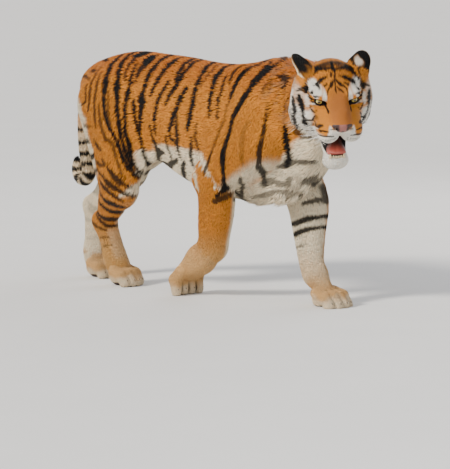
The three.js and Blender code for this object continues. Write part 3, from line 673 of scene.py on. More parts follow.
SIDE_STROKES = [
    # the rump, behind the thigh
    (0.9, [-655, 915, 3], [-628, 914, 6], [-600, 912, 4]),
    (0.8, [-670, 868, 3], [-640, 872, 5], [-615, 872, 4]),
    (0.7, [-750, 842, 4], [-690, 845, 5], [-620, 840, 3]),
    (0.8, [-628, 812, 5], [-613, 775, 6], [-616, 745, 5], [-642, 735, 3]),
    (0.7, [-594, 894, 4], [-592, 840, 7], [-585, 780, 7], [-584, 730, 6], [-596, 715, 4]),
    (0.7, [-563, 872, 4], [-550, 820, 7], [-550, 765, 6], [-546, 710, 6], [-532, 650, 4]),
    (0.9, [-640, 592, 5], [-620, 592, 8], [-602, 585, 5]),
    (0.95, [-622, 528, 6], [-590, 527, 9], [-562, 538, 5]),
    (0.9, [-602, 470, 5], [-575, 472, 7], [-545, 480, 4]),
    (0.5, [-635, 655, 5], [-600, 650, 6], [-560, 652, 4]),
    # the haunch, sweeping down and forward over the thigh
    (1.0, [-540, 945, 7], [-530, 905, 11], [-515, 862, 9], [-508, 802, 5]),
    (1.0, [-508, 862, 6], [-495, 820, 10], [-496, 757, 8], [-473, 682, 8], [-423, 611, 7],
     [-398, 552, 7], [-371, 494, 6], [-328, 440, 4]),
    (0.6, [-523, 744, 5], [-507, 669, 7], [-473, 611, 8], [-440, 590, 7], [-419, 540, 6],
     [-394, 477, 5], [-373, 452, 3]),
    (0.6, [-478, 798, 3], [-470, 725, 5], [-448, 655, 5], [-425, 622, 3]),
    (1.0, [-494, 955, 9], [-478, 915, 10], [-458, 865, 9], [-440, 815, 12], [-430, 750, 10],
     [-417, 680, 8], [-398, 607, 6], [-378, 548, 6], [-357, 486, 5], [-334, 450, 3]),
    (1.0, [-450, 946, 9], [-430, 948, 14], [-412, 946, 9]),
    (0.9, [-432, 930, 9], [-430, 895, 6], [-420, 850, 4]),
    (1.0, [-394, 907, 5], [-388, 850, 8], [-384, 790, 10], [-391, 723, 8], [-388, 650, 7],
     [-370, 582, 7], [-355, 519, 6], [-330, 463, 4]),
    (1.0, [-372, 935, 9], [-354, 925, 17], [-340, 925, 10]),
    (0.9, [-356, 900, 13], [-360, 860, 7], [-363, 836, 4]),
    (1.0, [-347, 770, 7], [-344, 715, 8], [-338, 645, 7], [-325, 590, 7], [-310, 545, 6],
     [-308, 515, 6], [-325, 445, 4]),
    (0.8, [-555, 600, 4], [-530, 578, 8], [-500, 562, 5]),
    (0.7, [-560, 515, 4], [-515, 503, 8], [-470, 500, 5]),
    (0.75, [-492, 527, 5], [-455, 492, 7], [-420, 455, 6], [-390, 425, 4]),
    (0.75, [-490, 452, 4], [-455, 427, 7], [-415, 411, 7], [-378, 390, 4]),
    # the flank
    (1.0, [-294, 950, 11], [-296, 890, 11], [-300, 823, 11], [-303, 770, 16], [-305, 720, 11],
     [-320, 670, 7], [-334, 636, 3]),
    (1.0, [-225, 930, 11], [-233, 895, 13], [-243, 835, 9], [-253, 796, 6]),
    (1.0, [-178, 855, 6], [-190, 818, 8], [-207, 770, 8], [-220, 705, 8], [-220, 640, 5]),
    (0.9, [-253, 675, 6], [-250, 640, 8], [-240, 597, 11], [-250, 560, 8], [-262, 535, 8]),
    (0.9, [-250, 552, 8], [-225, 572, 10], [-198, 570, 5]),
    (0.9, [-245, 528, 7], [-205, 515, 11], [-165, 532, 9], [-110, 548, 5]),
    (1.0, [-176, 948, 7], [-155, 910, 8], [-148, 870, 8], [-132, 850, 6]),
    (1.0, [-138, 942, 7], [-122, 905, 9], [-127, 850, 11], [-145, 805, 9], [-160, 762, 5]),
    (0.8, [-155, 637, 6], [-156, 600, 7], [-148, 570, 7], [-155, 548, 5]),
    (1.0, [-73, 828, 9], [-85, 785, 11], [-97, 745, 11], [-118, 695, 9], [-130, 648, 8],
     [-115, 630, 6], [-98, 617, 4]),
    (0.95, [-90, 725, 5], [-87, 685, 8], [-82, 640, 9], [-90, 590, 8], [-86, 555, 6]),
    (0.95, [-146, 466, 8], [-115, 492, 11], [-78, 530, 8], [-64, 545, 4]),
    (1.0, [-73, 945, 6], [-50, 919, 9], [-28, 880, 9], [-22, 835, 9], [-10, 790, 12],
     [-15, 730, 12], [-24, 673, 7]),
    (0.6, [-24, 935, 3], [-2, 905, 5], [6, 865, 5], [-4, 830, 3]),
    (0.95, [1, 642, 5], [-2, 615, 8], [-13, 570, 8], [-18, 535, 6]),
    (1.0, [45, 932, 9], [53, 890, 13], [68, 848, 11], [80, 795, 9], [93, 727, 5]),
    (0.75, [30, 700, 5], [27, 645, 7], [36, 600, 5]),
    (0.9, [121, 888, 5], [122, 840, 7], [129, 782, 7], [144, 724, 4]),
    # the shoulder: one long bold stripe, and little else
    (0.85, [190, 938, 4], [165, 905, 7], [154, 862, 5]),
    (1.0, [258, 952, 6], [230, 922, 8], [203, 880, 9], [191, 835, 10], [187, 796, 6]),
    (0.45, [187, 800, 4], [179, 720, 5], [160, 650, 6], [130, 590, 6]),
    (0.8, [130, 592, 5], [114, 545, 8], [102, 510, 6]),
    (1.0, [304, 940, 9], [290, 890, 10], [280, 840, 13], [264, 790, 13], [235, 732, 11],
     [229, 680, 10], [208, 610, 12], [200, 560, 11], [190, 505, 7], [165, 450, 5], [140, 418, 4]),
    (1.0, [356, 950, 8], [338, 928, 11], [313, 900, 13], [296, 862, 9]),
    (0.8, [318, 962, 6], [350, 962, 5]),
    (0.6, [360, 872, 4], [350, 845, 6], [345, 826, 3]),
    (0.35, [376, 920, 4], [373, 880, 6], [372, 842, 4]),
    (0.2, [321, 718, 6], [310, 660, 11], [300, 600, 9], [290, 560, 5]),
    (0.9, [404, 894, 7], [435, 890, 10], [463, 880, 8], [445, 858, 8]),
    (0.9, [383, 796, 2], [391, 715, 5], [393, 655, 7], [372, 583, 8], [335, 525, 9],
     [318, 480, 12]),
    (1.0, [458, 718, 6], [457, 660, 9], [459, 610, 9], [450, 575, 10], [436, 553, 8]),
    (0.8, [250, 500, 3], [200, 452, 5], [155, 412, 9], [133, 398, 8]),
    (0.7, [400, 548, 5], [430, 552, 9], [470, 572, 9], [520, 570, 7]),
    (0.55, [300, 470, 9], [350, 490, 12], [400, 480, 10], [430, 505, 6]),
    (0.5, [210, 415, 5], [290, 432, 8], [350, 447, 7], [420, 440, 5]),
    (0.7, [500, 735, 5], [495, 700, 8], [512, 680, 7], [560, 672, 6]),
    (0.7, [455, 480, 5], [490, 500, 8], [530, 523, 7]),
]
HIND_BANDS = [
    (1.0, [-331, 445, 5], [-322, 402, 9], [-338, 368, 11], [-362, 358, 5]),
    (0.8, [-402, 410, 4], [-376, 396, 7], [-352, 376, 5]),
    (0.9, [-492, 520, 3], [-440, 480, 6], [-394, 444, 7], [-360, 418, 4]),
    (0.9, [-537, 475, 4], [-490, 455, 6], [-450, 438, 8], [-398, 410, 7], [-365, 388, 5]),
    (0.9, [-547, 437, 4], [-500, 422, 7], [-458, 406, 8], [-415, 380, 7], [-388, 362, 4]),
    (0.95, [-545, 388, 4], [-497, 362, 8], [-435, 346, 9], [-400, 336, 5]),
    (0.95, [-562, 352, 4], [-522, 330, 8], [-478, 314, 8], [-440, 316, 4]),
    (0.9, [-620, 318, 4], [-575, 286, 7], [-530, 276, 8], [-500, 282, 4]),
    (0.85, [-612, 290, 4], [-582, 268, 6], [-552, 246, 7], [-528, 250, 4]),
    (0.7, [-652, 250, 5], [-604, 238, 6], [-566, 228, 4]),
    (0.55, [-596, 192, 3], [-554, 196, 3]),
    (0.55, [-582, 155, 3], [-542, 161, 3]),
]
FORE_BANDS = [
    (0.95, [262, 296, 5], [320, 305, 9], [375, 325, 10], [425, 338, 5]),
    (0.95, [280, 254, 5], [330, 264, 9], [375, 282, 9], [425, 296, 5]),
    (0.8, [350, 385, 6], [400, 402, 9], [450, 415, 5]),
    (0.5, [330, 210, 3], [370, 220, 4], [400, 230, 2]),
]
# how far along the tail each ring is, and its half width
TAIL_RINGS = [(130, 6), (205, 7), (270, 8), (325, 9), (372, 10), (415, 10), (455, 10), (492, 10),
              (528, 11), (566, 12)]
TAIL_END = 590  # the tail is black from here on
print("strokes on the side:", len(SIDE_STROKES) + len(HIND_BANDS) + len(FORE_BANDS))


# %% [markdown]
# ## The face's own marks
#
# The face has the finest marks, and tigers are told apart by them. They could be painted by hand on
# a flat map of the head, but strokes stay sharp at any distance and are easy to change one by one.
# The right cheek is drawn, and the left one is its mirror image, moved a little.

# %% Strokes of the face
MIDDLE_STROKES = [
    (0.8, [-86, 102, 2], [-50, 100, 2], [-24, 107, 2.5], [-2, 110, 2.5], [20, 107, 2.5], [56, 101, 2],
     [84, 88, 1.5]),
    (0.8, [-108, 100, 1.5], [-76, 92, 2.5], [-47, 98, 2.5], [-26, 105, 1.5]),
    (1.0, [-8, 108, 2], [-5, 105, 7], [-2, 101, 5.5], [-2, 91, 3], [-4, 77, 2.5], [-7, 65, 2]),
    (1.0, [-10, 104, 2], [-30, 101, 2.5], [-48, 96, 3.5], [-62, 88, 3.5], [-76, 77, 2]),
    (1.0, [3, 102, 2], [33, 101, 2.5], [60, 90, 4], [85, 70, 4.5], [104, 52, 3.5], [118, 32, 2]),
    (1.0, [13, 88, 2], [35, 79, 4], [54, 69, 5], [71, 56, 4.5], [82, 44, 2]),
    (1.0, [-29, 84, 2], [-44, 77, 4.5], [-58, 68, 5], [-69, 55, 2.5]),
    (0.9, [-10, 97, 1.5], [-15, 91, 4], [-18, 85, 2]),
    (0.9, [-8, 77, 2], [-20, 67, 5], [-28, 59, 2.5], [-36, 49, 2], [-40, 41, 2]),
    (0.85, [-7, 67, 2], [-6, 56, 4], [-5, 46, 2]),
    (0.9, [0, 77, 2.5], [13, 68, 5], [26, 62, 3], [40, 52, 1.5]),
    (0.85, [0, 63, 1.5], [10, 55, 3], [23, 43, 1.5]),
    (0.8, [31, 68, 2], [47, 59, 2.5]),
    (0.85, [-34, 67, 2], [-46, 59, 2.5]),
    (0.8, [34, 55, 1.5], [39, 45, 2.5], [39, 32, 2.5]),
]
CHEEK_STROKES = [
    # over and under the eye
    (0.95, [-64, 60, 2], [-64, 53, 3.5], [-73, 51, 2.5], [-80, 47, 1.5]),
    (1.0, [-94, 26, 3], [-86, 30, 4], [-77, 33, 3], [-69, 33, 1.5]),
    (1.0, [-104, 42, 4.5], [-110, 35, 9.5], [-116, 27, 5.5]),
    (0.95, [-101, 25, 2], [-103, 15, 4.5], [-98, 10, 3.5], [-87, 11, 2]),
    (0.95, [-98, 3, 2.5], [-88, 0, 3], [-76, -5, 3], [-64, -8, 2]),
    (0.6, [-90, -8, 2], [-77, -9, 1.5]),
    (0.95, [-104, -11, 2], [-99, -19, 3.5], [-93, -26, 3.5], [-87, -26, 2]),
    (0.7, [-84, -19, 2], [-80, -17, 1.5]),
    (1.0, [-50, 1, 2.5], [-44, -3, 4.5], [-45, -12, 2]),
    # down the cheek and round the rim of the ruff
    (1.0, [-134, 8, 5.5], [-133, -6, 10], [-131, -21, 8], [-127, -44, 5.5], [-119, -72, 5.5],
     [-111, -100, 7.5], [-88, -128, 4], [-75, -148, 3.5], [-65, -164, 2]),
    (0.95, [-115, -78, 4], [-104, -75, 5.5], [-93, -68, 4], [-90, -48, 2.5], [-86, -36, 1.5]),
    (0.5, [-81, -36, 1.5], [-90, -53, 1.5], [-92, -68, 1.5]),
    (0.95, [-152, -10, 4], [-151, -34, 5.5], [-147, -57, 6], [-146, -88, 6], [-140, -127, 7],
     [-120, -160, 9], [-104, -190, 8], [-92, -210, 6]),
    (0.85, [-110, 90, 2], [-102, 76, 4.5], [-112, 45, 3], [-128, 31, 4.5], [-142, 18, 2]),
    # the muzzle
    (0.9, [-86, -58, 2.5], [-79, -49, 3], [-71, -43, 2]),
    (0.85, [-81, -65, 3.5], [-74, -59, 2.5], [-66, -58, 3], [-54, -58, 2]),
    (0.85, [-83, -84, 2], [-72, -80, 3], [-55, -76, 3], [-33, -78, 2]),
]
FACE_STROKES = MIDDLE_STROKES + CHEEK_STROKES
for strength, *rows in CHEEK_STROKES:
    FACE_STROKES.append((strength, *[[1 - 1.01 * y, z + 2, wide] for y, z, wide in rows]))
# the whiskers' roots are two rows of small dark dots on each side
for row in range(2):
    for sign in SIDES.values():
        for spot in range(6):
            aside, up = 24 + spot * 9, -90 - row * 9 - spot
            FACE_STROKES.append((0.75, [sign * aside, up, 1.6], [sign * (aside + 3), up, 1.4]))
print("strokes on the face:", len(FACE_STROKES))


# %% [markdown]
# ## Ground colours
#
# A tiger is orange above and cream below, with white over the eyes, on the cheeks, the chin and the
# inside of the legs. Each border is a line that gives a coordinate for another one, such as the
# height of the belly's edge for a place along the body, and the colours mix softly across it.

# %% Colours of the coat
def linear(red, green, blue):
    """A screen colour, 0 to 255, as light."""
    c = np.array([red, green, blue]) / 255
    return np.where(c <= 0.04045, c / 12.92, ((c + 0.055) / 1.055) ** 2.4)


ORANGE = linear(213, 137, 46)
DEEP_ORANGE = linear(180, 98, 28)
TAN = linear(218, 170, 104)
CREAM = linear(248, 230, 194)
WHITE = linear(250, 245, 232)
# painted shade: the grey in the hollows between locks of long hair
LOCK_SHADE_GREY = linear(120, 108, 96)
BRIDGE_BROWN = linear(172, 104, 50)
BLACK = linear(10, 7, 6)
LIP_BLACK = linear(20, 16, 17)
MOUTH_RED = linear(56, 20, 19)
PAD_GREY = linear(70, 58, 54)

BELLY_EDGE = [[-420, 400], [-330, 560], [-200, 604], [-60, 598], [50, 588], [100, 556], [170, 440]]
CHEST_EDGE = [[390, 150], [430, 190], [480, 275], [540, 370], [600, 440], [690, 520], [760, 560],
              [800, 600], [880, 680], [960, 800]]
SEAT_EDGE = [[300, -600], [350, -566], [480, -560], [550, -572], [600, -592], [680, -624],
             [740, -655], [800, -720]]
KNEE_EDGE = [[380, -402], [400, -378], [450, -346], [500, -346], [560, -350], [600, -290]]
HIND_SHIFT = [[78, -270], [285, -212], [440, -245], [740, 0]]
FORE_SHIFT = [[205, 380], [290, 320], [390, 262], [480, 140], [700, 0]]
OTHER_SIDE_DRIFT = 14


def along_line(values, line):
    """The coordinate that a border line gives for each value of the other one."""
    rows = np.array(line, float)
    return np.interp(values, rows[:, 0], rows[:, 1])


def mixed(a, b, t):
    """Colour a where t is 0 and colour b where it is 1."""
    return a + (b - a) * np.clip(t, 0, 1)[:, None]


def tail_length(points):
    """Distance along the tail from its root, for each point."""
    line = smooth(TAIL)[:, :3]
    best, where, start = np.full(len(points), FAR), np.zeros(len(points)), 0
    for p, q in zip(line, line[1:]):
        along = q - p
        length = np.linalg.norm(along)
        t = np.clip((points - p) @ along / length ** 2, 0, 1)
        gap = np.linalg.norm(points - p - t[:, None] * along, axis=1)
        closer = gap < best
        best[closer], where[closer] = gap[closer], (start + t * length)[closer]
        start += length
    return where


def painted_toe_cleft_shade(points):
    """1 in the clefts between neighbouring toes, where shade is painted on the hair."""
    gaps = np.full(len(points), FAR)
    for pairs in toe_tips.values():
        ends = [np.array(pair, float) for pair in pairs]
        for one, other in zip(ends, ends[1:]):
            knuckle, tip = (one + other) / 2
            top = knuckle + 0.5 * (knuckle - tip)
            gaps = np.minimum(gaps, distance(limb(top, tip, 1, 1), *points.T))
    return step(17 - gaps, 0, 10)


def facts_about(points, normals, region):
    """What the body's colours go by at each point."""
    at = SimpleNamespace(names=np.array(ORDER)[region], ragged=wobble(points, 60, 1) * 9)
    at.x, at.y, at.z = points.T
    at.ahead, at.up = normals[:, 0], normals[:, 2]
    at.left = (at.y > 0) | np.char.endswith(at.names, "left")
    at.left &= ~np.char.endswith(at.names, "right")
    at.hind = np.char.startswith(at.names, "hind") | np.char.startswith(at.names, "flank")
    at.fore = np.char.startswith(at.names, "fore")
    at.paw = np.char.find(at.names, "paw") > 0
    at.near_left = (at.names == "foreleg_left") & (at.x > 200)
    at.outward = normals[:, 1] * np.where(at.left, 1, -1)
    at.inner = step(-at.outward, -0.05, 0.45) * step(640 - at.z, 0, 80) * (at.hind | at.fore)
    at.inner *= np.where(at.hind & ~at.left, 0.35 + 0.65 * step(at.z, 250, 400), 1)

    # where the point stands on the drawing of the side, whichever side it is on
    rear = step(-at.x, 150, 300)
    shift = rear * along_line(at.z, HIND_SHIFT)
    shift += (1 - rear) * step(at.x, 0, 60) * along_line(at.z, FORE_SHIFT)
    drift = OTHER_SIDE_DRIFT * wobble(points, 330, 2)
    at.side_x = np.where(at.left, at.x - shift + drift, at.x) + wobble(points, 70, 3) * 2.5
    at.side_z = at.z + np.where(at.left, drift, 0) + wobble(points, 90, 4) * 2
    return at


def whiteness(at):
    """How far the ground colour goes from orange to white on trunk and legs."""
    belly = step(along_line(at.side_x, BELLY_EDGE) - at.side_z + at.ragged, -16, 18) * (at.x < 180)
    white = np.where(at.fore | (at.hind & (at.side_x < -335)), 0, belly)
    white = np.where(at.names == "breast", 1, white)
    chest = step(at.side_x - along_line(at.side_z, CHEST_EDGE) + at.ragged, -14, 20)
    seat = step(along_line(at.side_z, SEAT_EDGE) - at.side_x + at.ragged, -12, 14)
    seat *= step(775 - at.z, 0, 30) * step(at.z, 425, 490)
    knee = step(at.side_x - along_line(at.side_z, KNEE_EDGE) + at.ragged, -10, 10)
    knee *= step(600 - at.side_z, 0, 30) * step(at.side_z, 370, 390)
    under = step(-at.up, 0.35, 0.75) * step(at.z, 330, 400)
    shin = step(at.ahead, 0.35, 0.75) * step(250 - at.z, 0, 30) * step(at.z, 90, 130)
    white = np.maximum.reduce([white, chest * (at.x > 100) * ~at.fore, seat * at.hind,
                               knee * at.hind, at.inner, under, 0.25 * shin * at.hind])
    pale_leg = np.maximum(white, 1 - 0.75 * step(at.outward, 0.1, 0.6))
    white = np.where(at.near_left, pale_leg, white)
    pale_paw = np.where(at.left, 0.55 * step(at.z, 50, 150), 0) + 0.1
    pale_toes = 0.8 * step(40 - at.z + at.ragged, -18, 26)
    white = np.where(at.paw, np.maximum(pale_paw, pale_toes), white)
    return white * np.where(at.near_left, 0.55 + 0.45 * step(at.z, 110, 230), 1)


def body_darkness(points, at):
    """The side's stripes, the bands of the legs and painted shade in the clefts between the toes."""
    places = np.column_stack([at.side_x, at.side_z])
    dark = stroke_mask(places, SIDE_STROKES)
    dark *= np.where(at.hind | at.fore, 1 - 0.85 * at.inner, 1)
    bands = stroke_mask(places, HIND_BANDS) * (1 - 0.7 * at.inner)
    dark = np.where(at.hind, np.maximum(dark, bands), dark)
    on_leg = np.where(at.left, at.x, at.x + along_line(at.z, FORE_SHIFT))
    bands = stroke_mask(np.column_stack([on_leg, at.z]), FORE_BANDS)
    bands *= np.where(at.left, 1, at.inner)
    dark = np.where(at.fore, np.maximum(dark, bands), dark)
    # painted shade darkens the clefts between the toes
    return np.where(at.paw, np.maximum(dark, 0.75 * painted_toe_cleft_shade(points)), dark)


def body_colours(points, normals, region):
    """Ground colour and darkness of trunk, neck and legs."""
    at = facts_about(points, normals, region)
    back = step(at.z + at.ragged, 780, 930)
    ground = mixed(ORANGE, DEEP_ORANGE, 0.75 * back + 0.15 * wobble(points, 40, 5))
    ground = mixed(ground, TAN, 0.9 * step(300 - at.z, 0, 170) * (at.hind | at.fore | at.paw))
    ground = mixed(ground, between(CREAM, WHITE, 0.2), whiteness(at))
    return ground, body_darkness(points, at)


def tail_colours(points, normals):
    """Ground colour and darkness of the tail, paler below and towards its end."""
    s = tail_length(points)
    ragged = wobble(points, 50, 6) * 3
    ring = step(s, TAIL_END, TAIL_END + 10)
    for middle, wide in TAIL_RINGS:
        ring = np.maximum(ring, step(wide + ragged - np.abs(s - middle), -3, 3))
    pale = np.maximum(step(s, 150, 330) * 0.85, step(-normals[:, 2], 0.0, 0.6))
    return mixed(ORANGE, CREAM, pale), ring


print("ground colours are ready")


# %% [markdown]
# ## Colours of the head
#
# The white patches over the eyes, on the cheeks and round the mouth are soft ovals in the head's own
# frame, so they stay in place however the head is turned. The ears are black behind, and a white
# spot shows on the ear that turns its back.

# %% Colours of the face
def oval(y, z, centre, radii, soft=0.35):
    """1 inside an oval on the face and 0 outside, with a soft edge."""
    r = np.hypot((y - centre[0]) / radii[0], (z - centre[1]) / radii[1])
    return step(1 - r, -soft, soft)


WHITE_OVALS = [
    (1.0, [80, 50], [25, 16]), (1.0, [88, 33], [15, 12]), (0.95, [50, 28], [9, 24]),
    (0.9, [78, -3], [22, 5]), (0.95, [44, -58], [8, 18]), (0.8, [112, 2], [9, 20]),
    (0.6, [136, 6], [14, 34]),
]


def face_colours(points):
    """Ground colour and darkness of the head, in the head's own frame."""
    x, y, z = head_coordinates(points).T
    ragged = wobble(points, 35, 7) * 5
    cheek = step(np.abs(y) - 92 + ragged, -8, 14) * step(-z - 22 + ragged, -8, 16)
    cheek = np.maximum(cheek, step(np.abs(y) - 148 + ragged, -6, 10) * step(30 - z, 0, 20))
    beside_nose = 1 - step(np.abs(y) + 0.5 * ragged, 46, 60)
    pad = step(-z - 76 + 26 * beside_nose + ragged * 0.5, -8, 12) * step(x, 40, 70)
    chin = step(-z - 118 + ragged, -10, 16)
    white = np.maximum.reduce([cheek, pad, chin, step(-z - 60, 0, 30) * step(np.abs(y), 80, 95)])
    for sign in SIDES.values():
        for strength, centre, radii in WHITE_OVALS:
            white = np.maximum(white, strength * oval(y, z, [sign * centre[0], centre[1]], radii))
    bridge = oval(y, z, [0, -6], [42, 62])
    ground = mixed(ORANGE, DEEP_ORANGE, 0.25 * step(z, 50, 110))
    ground = mixed(ground, BRIDGE_BROWN, 0.8 * bridge)
    ground = mixed(ground, WHITE, white)
    places = np.column_stack([y + wobble(points, 40, 8) * 1.2, z + wobble(points, 40, 9) * 1.2])
    dark = stroke_mask(places, FACE_STROKES, 1.8, FACE_BOLDNESS) * step(x, -120, -100)
    # the rim stripe stays a stripe where the ruff turns to face sideways
    dark *= 1 - 0.95 * step(np.abs(y), 136, 144) * step(-x - 62 + ragged * 2, 0, 12)
    # the nape and the back of the ruff carry plain cross bars
    bars = step(np.sin((x + 0.4 * z + ragged * 1.5) * 2 * np.pi / 62), 0.45, 0.75)
    dark = np.maximum(dark, 0.85 * bars * step(-x, 100, 125) * step(z, -60, 20))
    return ground, dark


def ear_colours(points, ear):
    """A black ear back with a white spot, and pale hair inside."""
    x, y, z = ((points - ear["at"]) @ ear["axes"]).T
    back = step(x, -6, 2)
    ground = mixed(CREAM, ORANGE, back)
    ragged = wobble(points, 26, 12)
    spot = ear["spot"] * oval(y + 4, z + 4 * ragged, [0, 12], [21, 15], 0.5) * back
    black = back * (0.25 + 0.75 * step(z + 9 * ragged, -44, -8))
    black = np.maximum(black, step(np.hypot(y / 40, z / 54), 0.93, 0.99) * step(z, -30, 0))
    ground = mixed(ground, WHITE, spot)
    return ground, black * (1 - spot)


def marked(points, normals, region):
    """Colour of the coat at each point, and how dark its marking is."""
    ground, dark = body_colours(points, normals, region)
    for name in ("tail", "head", "jaw", "ear_right", "ear_left"):
        mine = region == ORDER.index(name)
        if not mine.any():
            continue
        if name == "tail":
            ground[mine], dark[mine] = tail_colours(points[mine], normals[mine])
        elif name.startswith("ear_"):
            ground[mine], dark[mine] = ear_colours(points[mine], EARS[name.removeprefix("ear_")])
        else:
            ground[mine], dark[mine] = face_colours(points[mine])
    return mixed(ground, BLACK, dark), dark


print("face colours are ready")


# %% [markdown]
# ## From field to mesh
#
# Surface nets turn a field on a grid into quads: each grid cell that the surface crosses gets one
# vertex, and each crossed grid edge joins the four cells round it. The net is a little uneven, so
# its vertices are then moved along the field's slope until they sit on the surface itself.

# %% Fields on a grid
def grid_axes(low, high, size):
    """The three axes of a regular grid over a box."""
    low, high = np.array(low, float), np.array(high, float)
    counts = np.ceil((high - low) / size).astype(int) + 1
    return [low[i] + size * np.arange(counts[i]) for i in range(3)]


def skin_grid(low, high, size):
    """The skin's field on a regular grid, and the grid's three axes."""
    axes = grid_axes(low, high, size)
    counts = np.array([len(axis) for axis in axes])
    f = np.full(counts, FAR, np.float32)
    fade = np.clip(axes[2] / SOLE_FADE, 0, 1)
    for form in forms:
        a, b = reach(form)
        first = np.clip(((a - low) / size).astype(int), 0, counts)
        last = np.clip(((b - low) / size).astype(int) + 2, 0, counts)
        if (last <= first).any():
            continue
        part = tuple(slice(first[i], last[i]) for i in range(3))
        x, y, z = (axes[i][part[i]].astype(np.float32) for i in range(3))
        d = distance(form, x[:, None, None], y[None, :, None], z[None, None, :])
        coat = form["coat"] * fade[part[2]].astype(np.float32)
        f[part] = melt(f[part], d - coat if form["cut"] else d + coat, form)
    return np.maximum(f, -axes[2]), axes


def skin(points):
    """The skin's field at points: under the coat, and flat on the floor."""
    return np.maximum(field(forms, points, under_coat=True), -points[:, 2])


def settle(points):
    """Moves points along the slope, twice, so that they lie on the skin."""
    for _ in range(2):
        points = points - slope(skin, points) * skin(points)[:, None]
    return points


eye_low, eye_high = (np.array(corner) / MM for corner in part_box("eye_right"))
ROW_SHIFT = (eye_low + eye_high) / 2 - in_head(eye_at(SIDES["right"]))
ROW_SHIFT[2] = 0
print("from the body's frame to the solids' frame:", np.round(ROW_SHIFT, 2), "mm")

# %% Surface nets
def nets(f, axes):
    """Vertices and outward quads of the surface where f is zero."""
    inside = f < 0
    n = np.array(f.shape) - 1
    corners = [(i, j, k) for i in (0, 1) for j in (0, 1) for k in (0, 1)]
    count = np.zeros(n, np.uint8)
    for i, j, k in corners:
        count += inside[i:i + n[0], j:j + n[1], k:k + n[2]]
    cells = np.argwhere((count > 0) & (count < 8))
    number = np.full(n, -1, np.int32)
    number[tuple(cells.T)] = np.arange(len(cells))
    total, crossings = np.zeros((len(cells), 3)), np.zeros(len(cells))
    for corner in corners:
        for axis in range(3):
            if corner[axis]:
                continue
            far_end = np.array(corner)
            far_end[axis] = 1
            fa, fb = f[tuple((cells + corner).T)], f[tuple((cells + far_end).T)]
            crossed = (fa < 0) != (fb < 0)
            place = np.tile(np.array(corner, float), (len(cells), 1))
            place[:, axis] = np.where(crossed, fa / np.where(crossed, fa - fb, 1), 0)
            total[crossed] += place[crossed]
            crossings[crossed] += 1
    start = np.array([axis[0] for axis in axes])
    vertices = start + (cells + total / crossings[:, None]) * (axes[0][1] - axes[0][0])
    quads = []
    for axis in range(3):
        before, after = [slice(None)] * 3, [slice(None)] * 3
        before[axis], after[axis] = slice(0, -1), slice(1, None)
        edges = np.argwhere(inside[tuple(before)] != inside[tuple(after)])
        b, c = (axis + 1) % 3, (axis + 2) % 3
        held = (edges[:, b] > 0) & (edges[:, c] > 0) & (edges[:, b] < n[b]) & (edges[:, c] < n[c])
        edges = edges[held]
        step_b, step_c = np.eye(3, dtype=int)[b], np.eye(3, dtype=int)[c]
        steps = [step_b + step_c, step_c, 0 * step_b, step_b]
        ring = np.stack([number[tuple((edges - back).T)] for back in steps], 1)
        quads.append(np.where(inside[tuple(edges.T)][:, None], ring, ring[:, ::-1]))
    return vertices, np.concatenate(quads)


def metres(places):
    """Places of the body's frame in the scene."""
    return (places + ROW_SHIFT) * MM


def mesh_of(name, vertices, faces):
    """A smooth Blender mesh from places in the body's frame."""
    mesh = bpy.data.meshes.new(name)
    mesh.vertices.add(len(vertices))
    mesh.vertices.foreach_set("co", metres(vertices).astype(np.float32).ravel())
    corners = faces.shape[1]
    mesh.loops.add(faces.size)
    mesh.loops.foreach_set("vertex_index", faces.astype(np.int32).ravel())
    mesh.polygons.add(len(faces))
    mesh.polygons.foreach_set("loop_start", np.arange(0, faces.size, corners, dtype=np.int32))
    mesh.polygons.foreach_set("use_smooth", np.ones(len(faces), bool))
    mesh.update(calc_edges=True)
    return mesh


def places_of(mesh):
    """A mesh's vertices in the body's frame."""
    flat = np.empty(len(mesh.vertices) * 3, np.float32)
    mesh.vertices.foreach_get("co", flat)
    return flat.reshape(-1, 3).astype(float) / MM - ROW_SHIFT


def in_scene(name, data):
    """A new object in the scene, from a mesh, a lamp or a camera."""
    made = bpy.data.objects.new(name, data)
    bpy.context.scene.collection.objects.link(made)
    return made


def applied(holder):
    """The mesh that an object's modifiers make. The object itself goes."""
    evaluated = holder.evaluated_get(bpy.context.evaluated_depsgraph_get())
    result = bpy.data.meshes.new_from_object(evaluated)
    bpy.data.objects.remove(holder)
    return result


def put_places(mesh, places):
    """Moves a mesh's vertices to places in the body's frame."""
    mesh.vertices.foreach_set("co", metres(places).astype(np.float32).ravel())
    mesh.update()


def tint_mesh(mesh, colours):
    """Paints each vertex, in an attribute called tint."""
    rows = np.column_stack([colours, np.ones(len(colours))]).astype(np.float32)
    mesh.attributes.new("tint", "FLOAT_COLOR", "POINT").data.foreach_set("color", rows.ravel())


print("surface nets are ready")


# %% [markdown]
# ## The skin
#
# One closed skin covers the whole animal. A net as fine as the ears and toes need would be far too
# heavy on the trunk, so the trunk and the legs are thinned with the Decimate modifier, while the head
# and the paws keep every quad. The face is then divided further, the eyes and nostrils most, and each
# new vertex is settled on the field, which is where the lids and the folds round them come from.

# %% Skin of the whole body
GRID = 5.0
SKIN_BOX = [[-930, -282, -6.75], [876, 254, 1030]]
SKIN_TRIANGLES = 92000
FACE_BOX = [[-20, -112, -245], [190, 112, 70]]
FINE_BOXES = [[[-15, 28, -24], [60, 104, 34]], [[-15, -104, -24], [60, -28, 34]],
              [[112, -46, -76], [175, 46, -18]]]


def in_box(points, box, margin=0):
    """Whether body points lie in a box of the head's frame."""
    local = head_coordinates(points)
    return ((local > np.array(box[0]) - margin) & (local < np.array(box[1]) + margin)).all(1)


def fine_skin_needed(points):
    """The head, the ears and the paws keep the net's own quads."""
    head_part = head_coordinates(points)[:, 0] > -190
    return (head_part & (points[:, 2] > 480) & (points[:, 0] > 420)) | (points[:, 2] < 125)


